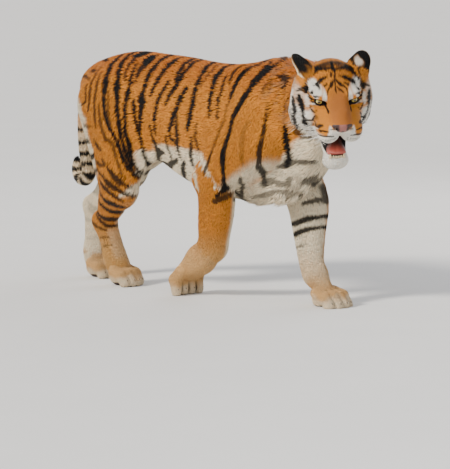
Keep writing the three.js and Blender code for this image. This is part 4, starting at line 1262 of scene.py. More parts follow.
def thinned(mesh, triangles):
    """The mesh with its broad parts decimated."""
    holder = in_scene("thinning", mesh)
    broad = np.nonzero(~fine_skin_needed(places_of(mesh)))[0]
    holder.vertex_groups.new(name="broad").add(broad.tolist(), 1.0, "REPLACE")
    thin = holder.modifiers.new("Thin", "DECIMATE")
    thin.ratio = triangles / (2 * len(mesh.polygons))
    thin.vertex_group = "broad"
    return applied(holder)


def divide(mesh, boxes):
    """Divides the faces in boxes of the head's frame and settles them on the skin."""
    work = bmesh.new()
    work.from_mesh(mesh)
    middles = np.array([face.calc_center_median() for face in work.faces]) / MM - ROW_SHIFT
    chosen = np.any([in_box(middles, box) for box in boxes], axis=0)
    edges = {edge for face, hit in zip(work.faces, chosen) if hit for edge in face.edges}
    bmesh.ops.subdivide_edges(work, edges=list(edges), cuts=1, use_grid_fill=True)
    work.to_mesh(mesh)
    work.free()
    places = places_of(mesh)
    near = np.any([in_box(places, box, 6) for box in boxes], axis=0)
    places[near] = settle(places[near])
    put_places(mesh, places)


skin_mesh = mesh_of("tiger_skin", *nets(*skin_grid(*SKIN_BOX, GRID)))
print("net:", len(skin_mesh.polygons), "quads at", round(time.time() - started), "s")
skin_mesh = thinned(skin_mesh, SKIN_TRIANGLES)
put_places(skin_mesh, settle(places_of(skin_mesh)))
divide(skin_mesh, [FACE_BOX])
divide(skin_mesh, FINE_BOXES)
skin_mesh.polygons.foreach_set("use_smooth", np.ones(len(skin_mesh.polygons), bool))
skin_mesh.name = "tiger_skin"
skin_mesh.calc_loop_triangles()
print("skin:", len(skin_mesh.loop_triangles), "triangles at", round(time.time() - started), "s")


# %% [markdown]
# ## Bare places and their colours
#
# Hair grows nowhere on the nose leather, the lips, the rims of the eyes, the lining of the mouth and
# the pads under the feet. Each of these is a distance from a form that is already there, so its edge
# follows the shape exactly.

# %% Bare skin
FACE_BACK = -60  # bare places of the head lie ahead of this, along its own x
LIP_RIM = 10
LIP_CORNER = 14  # added at the mouth's corners
LIP_HANG = 18  # added low beside the jaw
RIM_WIDTH = 4.4  # the bare edge of a lid
RIM_BLACK = 6.5  # the skin is black a little further out
SOLE_TOP = 16
NOSE_FORMS = [
    head_lump([138, 0, -36], [30, 40, 13], 10),
    head_lump([142, 0, -48], [24, 24, 13], 10),
    head_limb([146, 0, -50], [134, 0, -80], 10, 4, 8, 0.8, 0.8),
]


def nose_leather_field(points):
    return field(NOSE_FORMS, points)


def mouth_distance(points):
    return distance(body["mouth"][0], *points.T)


def lid_distance(points):
    """Distance from the nearest opening between the lids."""
    return np.min([distance(cut, *points.T) for cut in between_lids], axis=0)


def on_face(points):
    return head_coordinates(points)[:, 0] > FACE_BACK


def lip_width(points):
    """The black lip is a narrow rim in front and hangs broad at the corners."""
    aside = np.abs(head_coordinates(points)[:, 1])
    low = step(-150 - head_coordinates(points)[:, 2], 0, 20)
    corner, hang = step(aside, 26, 48), low * step(aside, 42, 54)
    return LIP_RIM + LIP_CORNER * corner + LIP_HANG * hang


def soles(points, normals):
    """1 under the paws, where the pads are."""
    return step(-normals[:, 2], 0.45, 0.6) * step(SOLE_TOP - points[:, 2], 0, 4)


def bald(points, normals):
    """1 where no hair grows."""
    lips = step(lip_width(points) - mouth_distance(points), -1, 1) * on_face(points)
    rims = step(RIM_WIDTH - lid_distance(points), -0.6, 0.6) * on_face(points)
    nose = step(1 - nose_leather_field(points), -1, 1)
    return np.maximum.reduce([lips, rims, nose, soles(points, normals)])


def bare_colours(points, normals, ground):
    """The coat's colours with the bare skin's painted over them."""
    gap = np.where(on_face(points), mouth_distance(points), FAR)
    out = mixed(ground, LIP_BLACK, step(lip_width(points) + 1 - gap, -1.5, 1.5))
    out = mixed(out, MOUTH_RED, step(-gap, -1, 1.5))
    rims = np.where(on_face(points), lid_distance(points), FAR)
    out = mixed(out, LIP_BLACK, step(RIM_BLACK - rims, -1, 1))
    return mixed(out, PAD_GREY, soles(points, normals))


def parted(points, normals, depth, way):
    """Hair next to the eyes, the lips and the nose is short and runs away from them."""
    openings = [(lid_distance(points), 16, 2.5), (mouth_distance(points) - 9, 14, 1.2),
                (nose_leather_field(points), 10, 1.0)]
    on_left = head_coordinates(points)[:, 1:2] > 0
    eyes = np.where(on_left, in_head(eye_at(1)), in_head(eye_at(-1)))
    centres = [eyes, in_head(MOUTH_CENTRE), in_head([150, 0, -40])]
    for (gap, room, push), centre in zip(openings, centres):
        close = np.where(on_face(points), np.exp(-np.maximum(gap, 0) / room), 0)
        away = laid_flat(points - centre, normals)
        way = way + away * (push * close)[:, None]
        depth = depth * (1 - 0.65 * close)
    return depth, unit(way)


places = places_of(skin_mesh)
normals = slope(skin, places)
depth, way, region = coat_at(places, normals)
depth, way = parted(places, normals, depth, way)
bare = bald(places, normals)
ground, _ = marked(places, normals, region)
tint_mesh(skin_mesh, bare_colours(places, normals, ground))
print("skin painted at", round(time.time() - started), "s")


# %% [markdown]
# ## Shader sums
#
# A material is easier to read as sums than as a heap of nodes. Wire stands for one output socket:
# adding or multiplying wires adds Math nodes, and node() makes any other node from its type, its
# settings and what goes into it.

# %% Wires
class Wire:
    """An output socket of a material, used like a number."""

    def __init__(self, tree, socket=None):
        self.tree = tree
        self.socket = socket

    def node(self, kind, inputs=None, out=0, stops=None, **settings):
        """Adds a node and gives its output; stops are a colour ramp's."""
        made = self.tree.nodes.new(kind)
        for name, value in settings.items():
            setattr(made, name, value)
        if stops:
            while len(made.color_ramp.elements) < len(stops):
                made.color_ramp.elements.new(0.5)
            for element, (at, colour) in zip(made.color_ramp.elements, stops):
                element.position = at
                element.color = (*colour, 1.0)
        for name, value in (inputs or {}).items():
            if isinstance(value, Wire):
                self.tree.links.new(value.socket, made.inputs[name])
            else:
                made.inputs[name].default_value = value
        return Wire(self.tree, made.outputs[out])

    def sum(self, operation, a, b):
        return self.node("ShaderNodeMath", {0: a, 1: b}, operation=operation)

    def __add__(self, other):
        return self.sum("ADD", self, other)

    def __radd__(self, other):
        return self.sum("ADD", other, self)

    def __sub__(self, other):
        return self.sum("SUBTRACT", self, other)

    def __rsub__(self, other):
        return self.sum("SUBTRACT", other, self)

    def __mul__(self, other):
        return self.sum("MULTIPLY", self, other)

    def __rmul__(self, other):
        return self.sum("MULTIPLY", other, self)


def material(name, roughness, **constants):
    """A new material: its start wire, its shader node, and constants on the shader's own sockets."""
    made = bpy.data.materials.new(name)
    made.use_nodes = True
    shader = made.node_tree.nodes["Principled BSDF"]
    shader.inputs["Roughness"].default_value = roughness
    for socket, value in constants.items():
        shader.inputs[socket.replace("_", " ")].default_value = value
    return made, Wire(made.node_tree), shader


def feed(shader, **wires):
    """Joins wires to the shader's own sockets."""
    for socket, wire in wires.items():
        wire.tree.links.new(wire.socket, shader.inputs[socket.replace("_", " ")])


def object_place(wire):
    return wire.node("ShaderNodeTexCoord", out="Object")


def noise(wire, scale, detail=3, vector=None):
    inputs = {"Scale": scale, "Detail": detail, "Vector": vector or object_place(wire)}
    return wire.node("ShaderNodeTexNoise", inputs)


def mix_colours(wire, factor, a, b, blend="MIX"):
    colours = [c if isinstance(c, Wire) else (*c, 1.0) for c in (a, b)]
    return wire.node("ShaderNodeMix", {0: factor, 6: colours[0], 7: colours[1]}, out=2,
                     data_type="RGBA", blend_type=blend)


def bump(wire, height, distance_m, strength):
    return wire.node("ShaderNodeBump", {"Height": height, "Distance": distance_m,
                                        "Strength": strength})


print("wires are ready")


# %% [markdown]
# ## Fur's two materials
#
# Skin and tufts carry the same painted colour, an attribute called tint. The skin adds a fine hairy
# grain for the places where it shows between tufts. On a tuft each vertex already has its own shade,
# with painted shade at the root, and a fine noise splits the blade into strands. Hair hardly shines,
# so both keep their specular light low.

# %% Materials of the fur
def tinted(wire, colour):
    """A colour multiplied by the painted one."""
    tint = wire.node("ShaderNodeAttribute", out="Color", attribute_name="tint")
    return mix_colours(wire, 1.0, tint, colour, "MULTIPLY")


def skin_material():
    made, wire, shader = material("short_fur", 0.75, Specular_IOR_Level=0.15)
    strands = noise(wire, 420, 2)
    grain = mix_colours(wire, strands, (0.62, 0.6, 0.58), (1, 1, 1))
    feed(shader, Base_Color=tinted(wire, grain), Normal=bump(wire, strands, 0.0012, 0.7))
    return made


def coat_material():
    made, wire, shader = material("coat_hair", 0.52, Specular_IOR_Level=0.2)
    strands = noise(wire, 900, 2)
    grain = mix_colours(wire, strands, (0.78, 0.76, 0.74), (1.1, 1.1, 1.1))
    feed(shader, Base_Color=tinted(wire, grain), Roughness=0.42 + 0.3 * strands)
    return made


def new_piece(name, mesh, finish, slot, *nodes):
    """Puts a mesh in the scene with its material, on the one body that there is."""
    mesh.materials.clear()
    mesh.materials.append(finish)
    piece = in_scene(name, mesh)
    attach(piece, "root")
    if nodes:
        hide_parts(*nodes)
    return piece


BARE_NODES = ("tongue", "teeth_lower", "nose", "eye_right", "eye_left")
FLESH = [node for node in frame["nodes"] if node not in BARE_NODES]
new_piece("tiger_skin", skin_mesh, skin_material(), "coat_orange", *FLESH)
coat_hair = coat_material()
print("the skin stands for", len(FLESH), "solids")


# %% [markdown]
# ## The coat's roots
#
# The coat is made of thin pointed blades, each a small lock of hair. Their length follows the coat's
# depth: long on the breast and the ruff, short on the legs, shortest on the face and the paws. Small
# tufts stand closer together, so every place is covered about equally deep.

# %% Roots
LENGTH_PER_DEPTH = 2.3
OVERLAP = 4.4  # layers of hair over each place
LONG_HAIR = 14  # a coat deeper than this hangs in locks
LOCK = np.array([1, 1, 0.4])  # locks are longer up and down
MOST_TUFTS = 32500  # in one piece, so that it stays under 200,000 triangles
ROOT_SINK = 1.2
COAT_PARTS = {"shoulder_": 300, "flank_": 20, "rump_": -300}  # each lies behind this x
HINDLEG_TOP = 520  # the legs' own coat pieces end at these heights
FORELEG_TOP = 470
RUFF_FRONT = -45


def tuft_length(depth):
    return 2 + LENGTH_PER_DEPTH * depth


def tuft_width(length):
    return 1.5 + 0.05 * length


def coat_piece(points, region):
    """The coat piece that each place belongs to, by name."""
    names = np.array(ORDER)[region]
    x, y, z = points.T
    side = np.where(np.char.endswith(names, "left"), "left", np.where(y > 0, "left", "right"))
    side = np.where(np.char.endswith(names, "right"), "right", side)
    part = np.full(len(points), "breast_", dtype="<U9")
    for part_name, end in COAT_PARTS.items():
        part[x < end] = part_name
    out = np.char.add(np.char.add("coat_", part), side)
    hind = np.char.startswith(names, "hind") & (z < HINDLEG_TOP)
    fore = np.char.startswith(names, "fore") & (z < FORELEG_TOP)
    out = np.where(hind, np.char.add("coat_hindleg_", side), out)
    out = np.where(fore, np.char.add("coat_foreleg_", side), out)
    out = np.where(names == "tail", "coat_tail", out)
    on_head = (names == "head") | (names == "jaw")
    front = head_coordinates(points)[:, 0] > RUFF_FRONT
    out = np.where(on_head, np.where(front, "coat_face", "coat_ruff"), out)
    return np.where(np.char.startswith(names, "ear"), "coat_ears", out)


flat = np.empty(len(skin_mesh.loop_triangles) * 3, np.int32)
skin_mesh.loop_triangles.foreach_get("vertices", flat)
triangles = flat.reshape(-1, 3)
a, b, c = (places[triangles[:, i]] for i in range(3))
area = np.linalg.norm(np.cross(b - a, c - a), axis=1) / 2
long = tuft_length(depth[triangles].mean(1))
wanted = area * OVERLAP / (long * tuft_width(long)) * (bare[triangles].max(1) < 0.5)
piece_names = coat_piece((a + b + c) / 3, region[triangles[:, 0]])
print("tufts wanted:", int(wanted.sum()))


# %% [markdown]
# ## The tufts
#
# Real fur is far too many hairs to make one by one, and a hair system would not export as a solid
# piece. A blade of six triangles stands for a small lock of hair instead. It leans from its root
# along the lie of the coat, up to the depth that the coat has there, and takes its colour from the
# place under its outer half, so a stripe has the ragged edge that hairs give it.

# %% Tufts
# A blade is a root, the left edge, right edge and raised ridge of its widest place, and a tip.
BLADE_FACES = np.array([[0, 3, 1], [0, 2, 3], [0, 1, 2], [1, 3, 4], [2, 4, 3], [1, 4, 2]])
BLADE_SIDE = np.array([0, -0.5, 0.5, 0, 0])
BLADE_UP = np.array([0, 0.4, 0.4, 0.4, 1.0])
# painted shade: each blade is darker at its root, where shade lies among the hair, and lighter at its
# tip
BLADE_PAINTED_SHADE = np.array([0.78, 0.95, 0.95, 1.0, 1.05])
BLADE_WIDEST = 0.38  # of the way along it
COLOUR_FROM = 0.7  # of the way along it
PATCH = 0.003  # the size of a blade's place on the coat's flat map
CHART_EDGE = 0.03
LOWEST = 0.2  # no hair comes nearer the floor than this


def roots_on(chosen, count):
    """Places spread evenly over the chosen triangles, with what the skin knows there."""
    share = np.cumsum(wanted[chosen])
    marks = (np.arange(count) + rng.random(count)) / count * share[-1]
    corners = triangles[chosen[np.minimum(np.searchsorted(share, marks), len(chosen) - 1)]]
    u, v = rng.random((2, count))
    over = u + v > 1
    u, v = np.where(over, 1 - u, u), np.where(over, 1 - v, v)
    weights = np.column_stack([1 - u - v, u, v])
    main = corners[np.arange(count), weights.argmax(1)]
    root, out, lie = ((values[corners] * weights[:, :, None]).sum(1)
                      for values in (places, normals, way))
    out = unit(out)
    return root, out, laid_flat(lie, out), (depth[corners] * weights).sum(1), region[main]


def at_height(points, out, height):
    """Moves points along out until they are at that height over the skin, and above the floor."""
    points = points + out * (height - skin(points))[:, None]
    points[:, 2] = np.maximum(points[:, 2], 2 * LOWEST)
    return points


def chart(root, out):
    """Six flat charts of the skin, one for each way it can face, side by side in one map."""
    low, high = root.min(0), root.max(0)
    across = np.abs(out).argmax(1)
    cell = across * 2 + (out[np.arange(len(out)), across] > 0)
    first, second = (across + 1) % 3, (across + 2) % 3
    each = np.arange(len(root))
    span = (root - low) / np.maximum(high - low, 1)
    room = 1 - 2 * CHART_EDGE
    u = (cell % 3 + CHART_EDGE + room * span[each, first]) / 3
    v = (cell // 3 + CHART_EDGE + room * span[each, second]) / 2
    return np.column_stack([u, v])


def blades_on(root, out, lie, deep):
    """Five places for each blade, the place that colours it, and how shaggy its lock is."""
    count = len(root)
    length = tuft_length(deep) * rng.uniform(0.75, 1.2, count)
    width = tuft_width(length) * rng.uniform(0.8, 1.15, count)
    swirl = np.radians(7) * wobble(root, 55, 31) + np.radians(6) * rng.normal(size=count)
    swirl = (swirl * (1 + deep / LONG_HAIR))[:, None]
    lie = lie * np.cos(swirl) + np.cross(out, lie) * np.sin(swirl)
    shag = step(deep, 0.8 * LONG_HAIR, 1.4 * LONG_HAIR)
    lock = wobble(root * LOCK, 42, 32)
    short_rise = rng.uniform(0.4, 0.62, count)
    long_rise = np.clip(0.62 + 0.5 * lock + rng.uniform(-0.15, 0.15, count), 0.2, 1.0)
    rise = deep * (short_rise + (long_rise - short_rise) * shag)
    middle = at_height(root + lie * (BLADE_WIDEST * length)[:, None], out, 0.55 * rise)
    tip = at_height(root + lie * length[:, None], out, rise * 0.96)
    ridge = out * (0.2 * width)[:, None]
    edge = np.cross(out, lie) * (0.5 * width)[:, None]
    foot = root - out * ROOT_SINK
    blades = np.stack([foot, middle + edge, middle - edge, middle + ridge, tip], 1)
    blades[:, :, 2] = np.maximum(blades[:, :, 2], LOWEST)
    return blades, root + lie * (COLOUR_FROM * length)[:, None], shag, lock


def blade_colours(place, out, where, shag, lock):
    """A colour for each of the five places of each blade, painted shade at the root, lighter at the
    tip.
    """
    hair, dark = marked(place, out, where)
    hair = hair * rng.uniform(0.92, 1.07, len(place))[:, None]
    # the hollows between the locks of long hair are painted grey, as shade
    hair = mixed(hair, LOCK_SHADE_GREY, shag * (1 - dark) * step(0.15 - lock, -0.1, 0.7) * 0.6)
    warmth = rng.uniform(-1, 1, len(place)) * (1 - dark)
    hair = hair * (1 + warmth[:, None] * [0.03, -0.03, -0.09])
    return (hair[:, None, :] * BLADE_PAINTED_SHADE[None, :, None]).reshape(-1, 3)


def coat_mesh(name):
    """All the tufts of one coat piece, painted and laid out on its map."""
    chosen = np.nonzero(piece_names == name)[0]
    count = min(int(wanted[chosen].sum()), MOST_TUFTS)
    root, out, lie, deep, where = roots_on(chosen, count)
    blades, place, shag, lock = blades_on(root, out, lie, deep)
    faces = (BLADE_FACES[None] + len(BLADE_UP) * np.arange(count)[:, None, None]).reshape(-1, 3)
    mesh = mesh_of(name, blades.reshape(-1, 3), faces)
    tint_mesh(mesh, blade_colours(place, out, where, shag, lock))
    spread = np.column_stack([BLADE_SIDE, BLADE_UP]) * PATCH
    uv = (chart(root, out)[:, None, :] + spread[None]).reshape(-1, 2)
    layer = mesh.uv_layers.new(name="OFBake")
    layer.data.foreach_set("uv", uv[faces.ravel()].astype(np.float32).ravel())
    return mesh


tufts = 0
for name in np.unique(piece_names):
    mesh = coat_mesh(str(name))
    new_piece(str(name), mesh, coat_hair, "coat_orange")
    tufts += len(mesh.polygons) // len(BLADE_FACES)
print("tufts:", tufts, "at", round(time.time() - started), "s")


# %% [markdown]
# ## Small closed shapes
#
# The nose, the tongue and the gums are fields too, meshed on a fine grid in the head's own frame. A
# tooth, a claw and a whisker are all the same thing: a tapered tube along a bent line, closed at
# both ends.

# %% Helpers for small shapes
def head_net(name, function, low, high, size):
    """Meshes a field of body points over a box of the head's frame."""
    axes = grid_axes(low, high, size)
    grid = np.stack(np.meshgrid(*axes, indexing="ij"), -1)
    values = function(BETWEEN_EYES + grid.reshape(-1, 3) @ HEAD.T).reshape(grid.shape[:3])
    vertices, quads = nets(values.astype(np.float32), axes)
    return mesh_of(name, BETWEEN_EYES + vertices @ HEAD.T, quads)


def tapered(line, radii, sides=10):
    """Vertices and triangles of a closed tube along a line, pointed where its radius is small."""
    line, radii = np.array(line, float), np.array(radii, float)
    ahead = unit(np.gradient(line, axis=0))
    helper = [0, 0, 1.0] if abs(ahead[0, 2]) < 0.8 else [1.0, 0, 0]
    u = unit(np.cross(ahead, helper))
    v = np.cross(ahead, u)
    turns = np.arange(sides) / sides * 2 * np.pi
    ring = np.cos(turns)[None, :, None] * u[:, None] + np.sin(turns)[None, :, None] * v[:, None]
    rings = line[:, None] + ring * radii[:, None, None]
    vertices = np.vstack([rings.reshape(-1, 3), line[:1], line[-1:]])
    faces = []
    last = (len(line) - 1) * sides
    for i in range(sides):
        j = (i + 1) % sides
        for k in range(len(line) - 1):
            at = k * sides
            faces += [[at + i, at + j, at + sides + j], [at + i, at + sides + j, at + sides + i]]
        faces += [[len(vertices) - 2, j, i], [len(vertices) - 1, last + i, last + j]]
    return vertices, np.array(faces)


def joined(shapes):
    """Several closed shapes as one set of vertices and triangles."""
    vertices, faces, start = [], [], 0
    for points, triangles_of in shapes:
        vertices.append(points)
        faces.append(triangles_of + start)
        start += len(points)
    return np.vstack(vertices), np.vstack(faces)


def arc(start, aim, length, bend, steps=8):
    """Points from start along aim, bending by the vector bend towards the end."""
    t = np.linspace(0, 1, steps)[:, None]
    return np.array(start) + np.array(aim) * length * t + np.array(bend) * t ** 2


print("helpers for small shapes are ready")


# %% [markdown]
# ## Eyes
#
# A tiger's eye is a ball 34 mm across with a clear dome over a gold-green iris and a round pupil. The
# ball turns round the line of sight, so its own map says how far a place is from the pupil's middle,
# and the colours follow that distance.

# %% Eyes
PUPIL = 0.085  # these two are shares of the half turn from the front of the eye to its back
IRIS = 0.255
DOME = 1.6
LID_GAP = 0.4
EYE_DOWN = 3  # degrees that each eye looks down
PUPIL_BLACK = (0.004, 0.004, 0.004)


def eye_mesh(name, sign):
    """A ball of rings round the line of sight, closer together at the front."""
    rings, sides = 40, 48
    facing = HEAD @ turn(sign * EYE_LOOK, -EYE_DOWN)
    centre = in_head(eye_at(sign))
    tilt = np.pi * (np.arange(rings + 1) / rings) ** 1.25
    radius = EYE_RADIUS - LID_GAP + DOME * step(IRIS * np.pi - tilt, -0.15, 0.6)
    vertices, uvs = [], []
    for k in range(rings + 1):
        for i in range(sides + 1):
            around = 2 * np.pi * i / sides
            local = np.array([np.cos(tilt[k]), np.sin(tilt[k]) * np.cos(around),
                              np.sin(tilt[k]) * np.sin(around)])
            vertices.append(centre + facing @ local * radius[k])
            uvs.append([i / sides, tilt[k] / np.pi])
    width = sides + 1
    starts = [k * width + i for k in range(rings) for i in range(sides)]
    faces = np.array([[at, at + width, at + width + 1, at + 1] for at in starts])
    mesh = mesh_of(name, np.array(vertices), faces)
    layer = mesh.uv_layers.new(name="around")
    layer.data.foreach_set("uv", np.array(uvs)[faces.ravel()].astype(np.float32).ravel())
    work = bmesh.new()
    work.from_mesh(mesh)
    bmesh.ops.remove_doubles(work, verts=work.verts, dist=0.00001)
    bmesh.ops.recalc_face_normals(work, faces=work.faces)
    work.to_mesh(mesh)
    work.free()
    return mesh


def eye_material():
    made, wire, shader = material("eye", 0.06, Coat_Weight=1.0, Coat_Roughness=0.03)
    uv = wire.node("ShaderNodeUVMap", uv_map="around")
    u = wire.node("ShaderNodeSeparateXYZ", {0: uv}, out="X")
    v = wire.node("ShaderNodeSeparateXYZ", {0: uv}, out="Y")
    angle = u * (2 * np.pi)
    cosine = wire.node("ShaderNodeMath", {0: angle}, operation="COSINE")
    sine = wire.node("ShaderNodeMath", {0: angle}, operation="SINE")
    around = wire.node("ShaderNodeCombineXYZ", {0: cosine * 2, 1: sine * 2, 2: v * 5})
    spokes = noise(wire, 5, 4, around)
    rings = wire.node("ShaderNodeValToRGB", {0: v + (spokes - 0.5) * 0.02}, stops=[
        (0.0, PUPIL_BLACK), (PUPIL - 0.006, PUPIL_BLACK), (PUPIL + 0.008, (0.46, 0.33, 0.06)),
        (0.15, (0.66, 0.56, 0.16)), (IRIS - 0.035, (0.52, 0.46, 0.14)),
        (IRIS, (0.03, 0.022, 0.012)), (IRIS + 0.04, (0.10, 0.06, 0.04)), (0.5, (0.35, 0.22, 0.18))])
    shade = mix_colours(wire, spokes, (0.55, 0.55, 0.5), (1.25, 1.2, 1.1))
    feed(shader, Base_Color=mix_colours(wire, 1.0, rings, shade, "MULTIPLY"))
    return made


eye_finish = eye_material()
for side, sign in SIDES.items():
    new_piece(f"eyeball_{side}", eye_mesh(f"eyeball_{side}", sign), eye_finish, "eye", f"eye_{side}")
print("eyes: two balls of", 2 * EYE_RADIUS, "mm")


# %% [markdown]
# ## Nose leather
#
# The nose is bare, pebbled leather in the shape of a broad T, pink in the middle and nearly black
# round the nostrils, partly its own dark edge and partly painted shade in the nostril holes. It lies
# on the skin like a thin plate, so its field is the skin raised by a little over a millimetre and
# kept inside the T.

# %% Nose
NOSE_RISE = 1.1
NOSE_DEPTH = 4
NOSE_BOX = [[100, -50, -96], [175, 50, -12]]
NOSTRIL_DARK_AND_SHADE = np.array([0.08, 0.06, 0.06])


def nose_field(points):
    """A plate from under the skin to a little over it, inside the T."""
    cover = skin(points)
    return np.maximum.reduce([cover - NOSE_RISE, nose_leather_field(points), -cover - NOSE_DEPTH])


def nose_material():
    made, wire, shader = material("nose_leather", 0.38, Coat_Weight=0.15, Coat_Roughness=0.25)
    pebbles = wire.node("ShaderNodeTexVoronoi", {"Vector": object_place(wire), "Scale": 700.0})
    blotches = noise(wire, 60, 3)
    pink = mix_colours(wire, blotches, linear(118, 66, 58), linear(168, 104, 90))
    feed(shader, Base_Color=tinted(wire, pink), Roughness=0.3 + 0.25 * blotches,
         Normal=bump(wire, pebbles, 0.0006, 0.8))
    return made


nose_mesh = head_net("nose_pad", nose_field, *NOSE_BOX, 1.6)
nose_places = places_of(nose_mesh)
hole = np.min([distance(form, *nose_places.T) for form in fine if form["cut"]], axis=0)
aside = np.abs(head_coordinates(nose_places)[:, 1])
# black at the nostrils: the leather's own dark edge, with painted shade in the nostril holes
nostril_dark_and_shade = np.maximum(step(6.5 - hole, -2.5, 2.5), 0.97 * step(aside, 9, 19))
tint_mesh(nose_mesh, mixed(np.ones(3), NOSTRIL_DARK_AND_SHADE, nostril_dark_and_shade))
new_piece("nose_pad", nose_mesh, nose_material(), "nose_leather", "nose")
print("nose leather:", len(nose_mesh.polygons), "faces")


# %% [markdown]
# ## Tongue and teeth
#
# The mouth is half open, so the tongue shows behind the lower canines. It is a broad limb with a
# groove down the middle and a coat of tiny rasping points. The teeth are tapered tubes: two canines
# and six small incisors between them.

# %% Tongue and teeth
TONGUE = [
    head_limb([8, 0, -166], [68, 0, -191], 16, 11, 10, 1.7, 3.4),
    dict(head_limb([20, 0, -149], [82, 0, -178], 3, 2.5, 14), cut=True),
]
TONGUE_BOX = [[-20, -56, -212], [100, 56, -124]]
CANINE_ASIDE = 26
CANINE_TAPER = [6.2, 6.4, 6.0, 5.3, 4.4, 3.2, 1.8, 0.3]
INCISORS = 6
INCISOR_STEP = 6.2
INCISOR_TAPER = [2.6, 2.8, 2.7, 2.2, 1.0]


def tongue_material():
    made, wire, shader = material("tongue", 0.3, Coat_Weight=0.4, Coat_Roughness=0.15)
    points = wire.node("ShaderNodeTexVoronoi", {"Vector": object_place(wire), "Scale": 520.0})
    pink = mix_colours(wire, noise(wire, 45), linear(156, 60, 48), linear(198, 94, 76))
    feed(shader, Base_Color=tinted(wire, pink), Normal=bump(wire, points, 0.0009, 0.9))
    return made


def tooth_material():
    made, wire, shader = material("tooth", 0.22, Coat_Weight=0.3, Coat_Roughness=0.1)
    colour = mix_colours(wire, noise(wire, 90), linear(186, 160, 118), linear(222, 204, 168))
    feed(shader, Base_Color=colour, Roughness=0.15 + 0.2 * noise(wire, 200, 2))
    return made


tongue_mesh = head_net("tongue_top", lambda points: field(TONGUE, points), *TONGUE_BOX, 2.2)
forward = head_coordinates(places_of(tongue_mesh))[:, 0]
# painted shade: the tongue is darker towards the back, deep in the mouth
painted_mouth_shade = 0.08 + 0.92 * step(forward, 38, 78)
tint_mesh(tongue_mesh, np.column_stack([painted_mouth_shade] * 3))
new_piece("tongue_top", tongue_mesh, tongue_material(), "tongue", "tongue")
teeth = []
for sign in SIDES.values():
    foot = in_head([84, sign * CANINE_ASIDE, -204])
    line = arc(foot, HEAD @ [0.12, sign * 0.04, 1], 17, HEAD @ [-4, sign * 1, 0])
    teeth.append(tapered(line, CANINE_TAPER, 14))
for spot in range(INCISORS):
    aside = (spot - (INCISORS - 1) / 2) * INCISOR_STEP
    foot = in_head([92 - 0.018 * aside ** 2, aside, -202])
    line = arc(foot, HEAD @ [0.05, 0, 1], 11, [0, 0, 0], len(INCISOR_TAPER))
    teeth.append(tapered(line, INCISOR_TAPER, 8))
teeth_mesh = mesh_of("teeth_in_jaw", *joined(teeth))
new_piece("teeth_in_jaw", teeth_mesh, tooth_material(), "tooth", "teeth_lower")
print("tongue and", len(teeth), "teeth")


# %% [markdown]
# ## Claws
#
# A walking cat keeps its claws drawn in, so only the dark horn tips show through the fur of the toes.

# %% Claws
CLAW_LENGTH = 12
CLAW_TAPER = [3.4, 3.4, 3.1, 2.6, 2.0, 1.2, 0.3]
CLAW_LOWEST = 2.5


def claw_material():
    made, wire, shader = material("claw_horn", 0.35)
    colour = mix_colours(wire, noise(wire, 120), linear(58, 46, 38), linear(128, 108, 86))
    feed(shader, Base_Color=colour, Roughness=0.25 + 0.3 * noise(wire, 300, 2))
    return made


claws = []
for knuckle, tip in (pair for tips in toe_tips.values() for pair in tips):
    aim = np.array([tip[0] - knuckle[0], tip[1] - knuckle[1], 0])
    flat_length = np.linalg.norm(aim)
    aim = aim / flat_length if flat_length > 3 else np.array([1.0, 0, 0])
    root = tip + aim * 12 + [0, 0, 10]
    line = arc(root, aim * 0.9 + [0, 0, -0.1], CLAW_LENGTH, [0, 0, -5], len(CLAW_TAPER))
    line[:, 2] = np.maximum(line[:, 2], CLAW_LOWEST)
    claws.append(tapered(line, CLAW_TAPER))
new_piece("claws", mesh_of("claws", *joined(claws)), claw_material(), "coat_dark")
print("claws:", len(claws))


# %% [markdown]
# ## Whiskers
#
# Whiskers stand in four rows on each side of the muzzle, with a few over the eyes. They are all one
# shape, a long stiff hair that thins to nothing, so Geometry Nodes put one on each root, turned to
# its own aim and stretched to its own reach. The tree ends in real mesh.

# %% Whiskers
WHISKER_THICKNESS = 0.008  # these three are shares of a whisker's length
WHISKER_TIP = 0.0004
WHISKER_DROOP = 0.16
WHISKER_SINK = 1.5


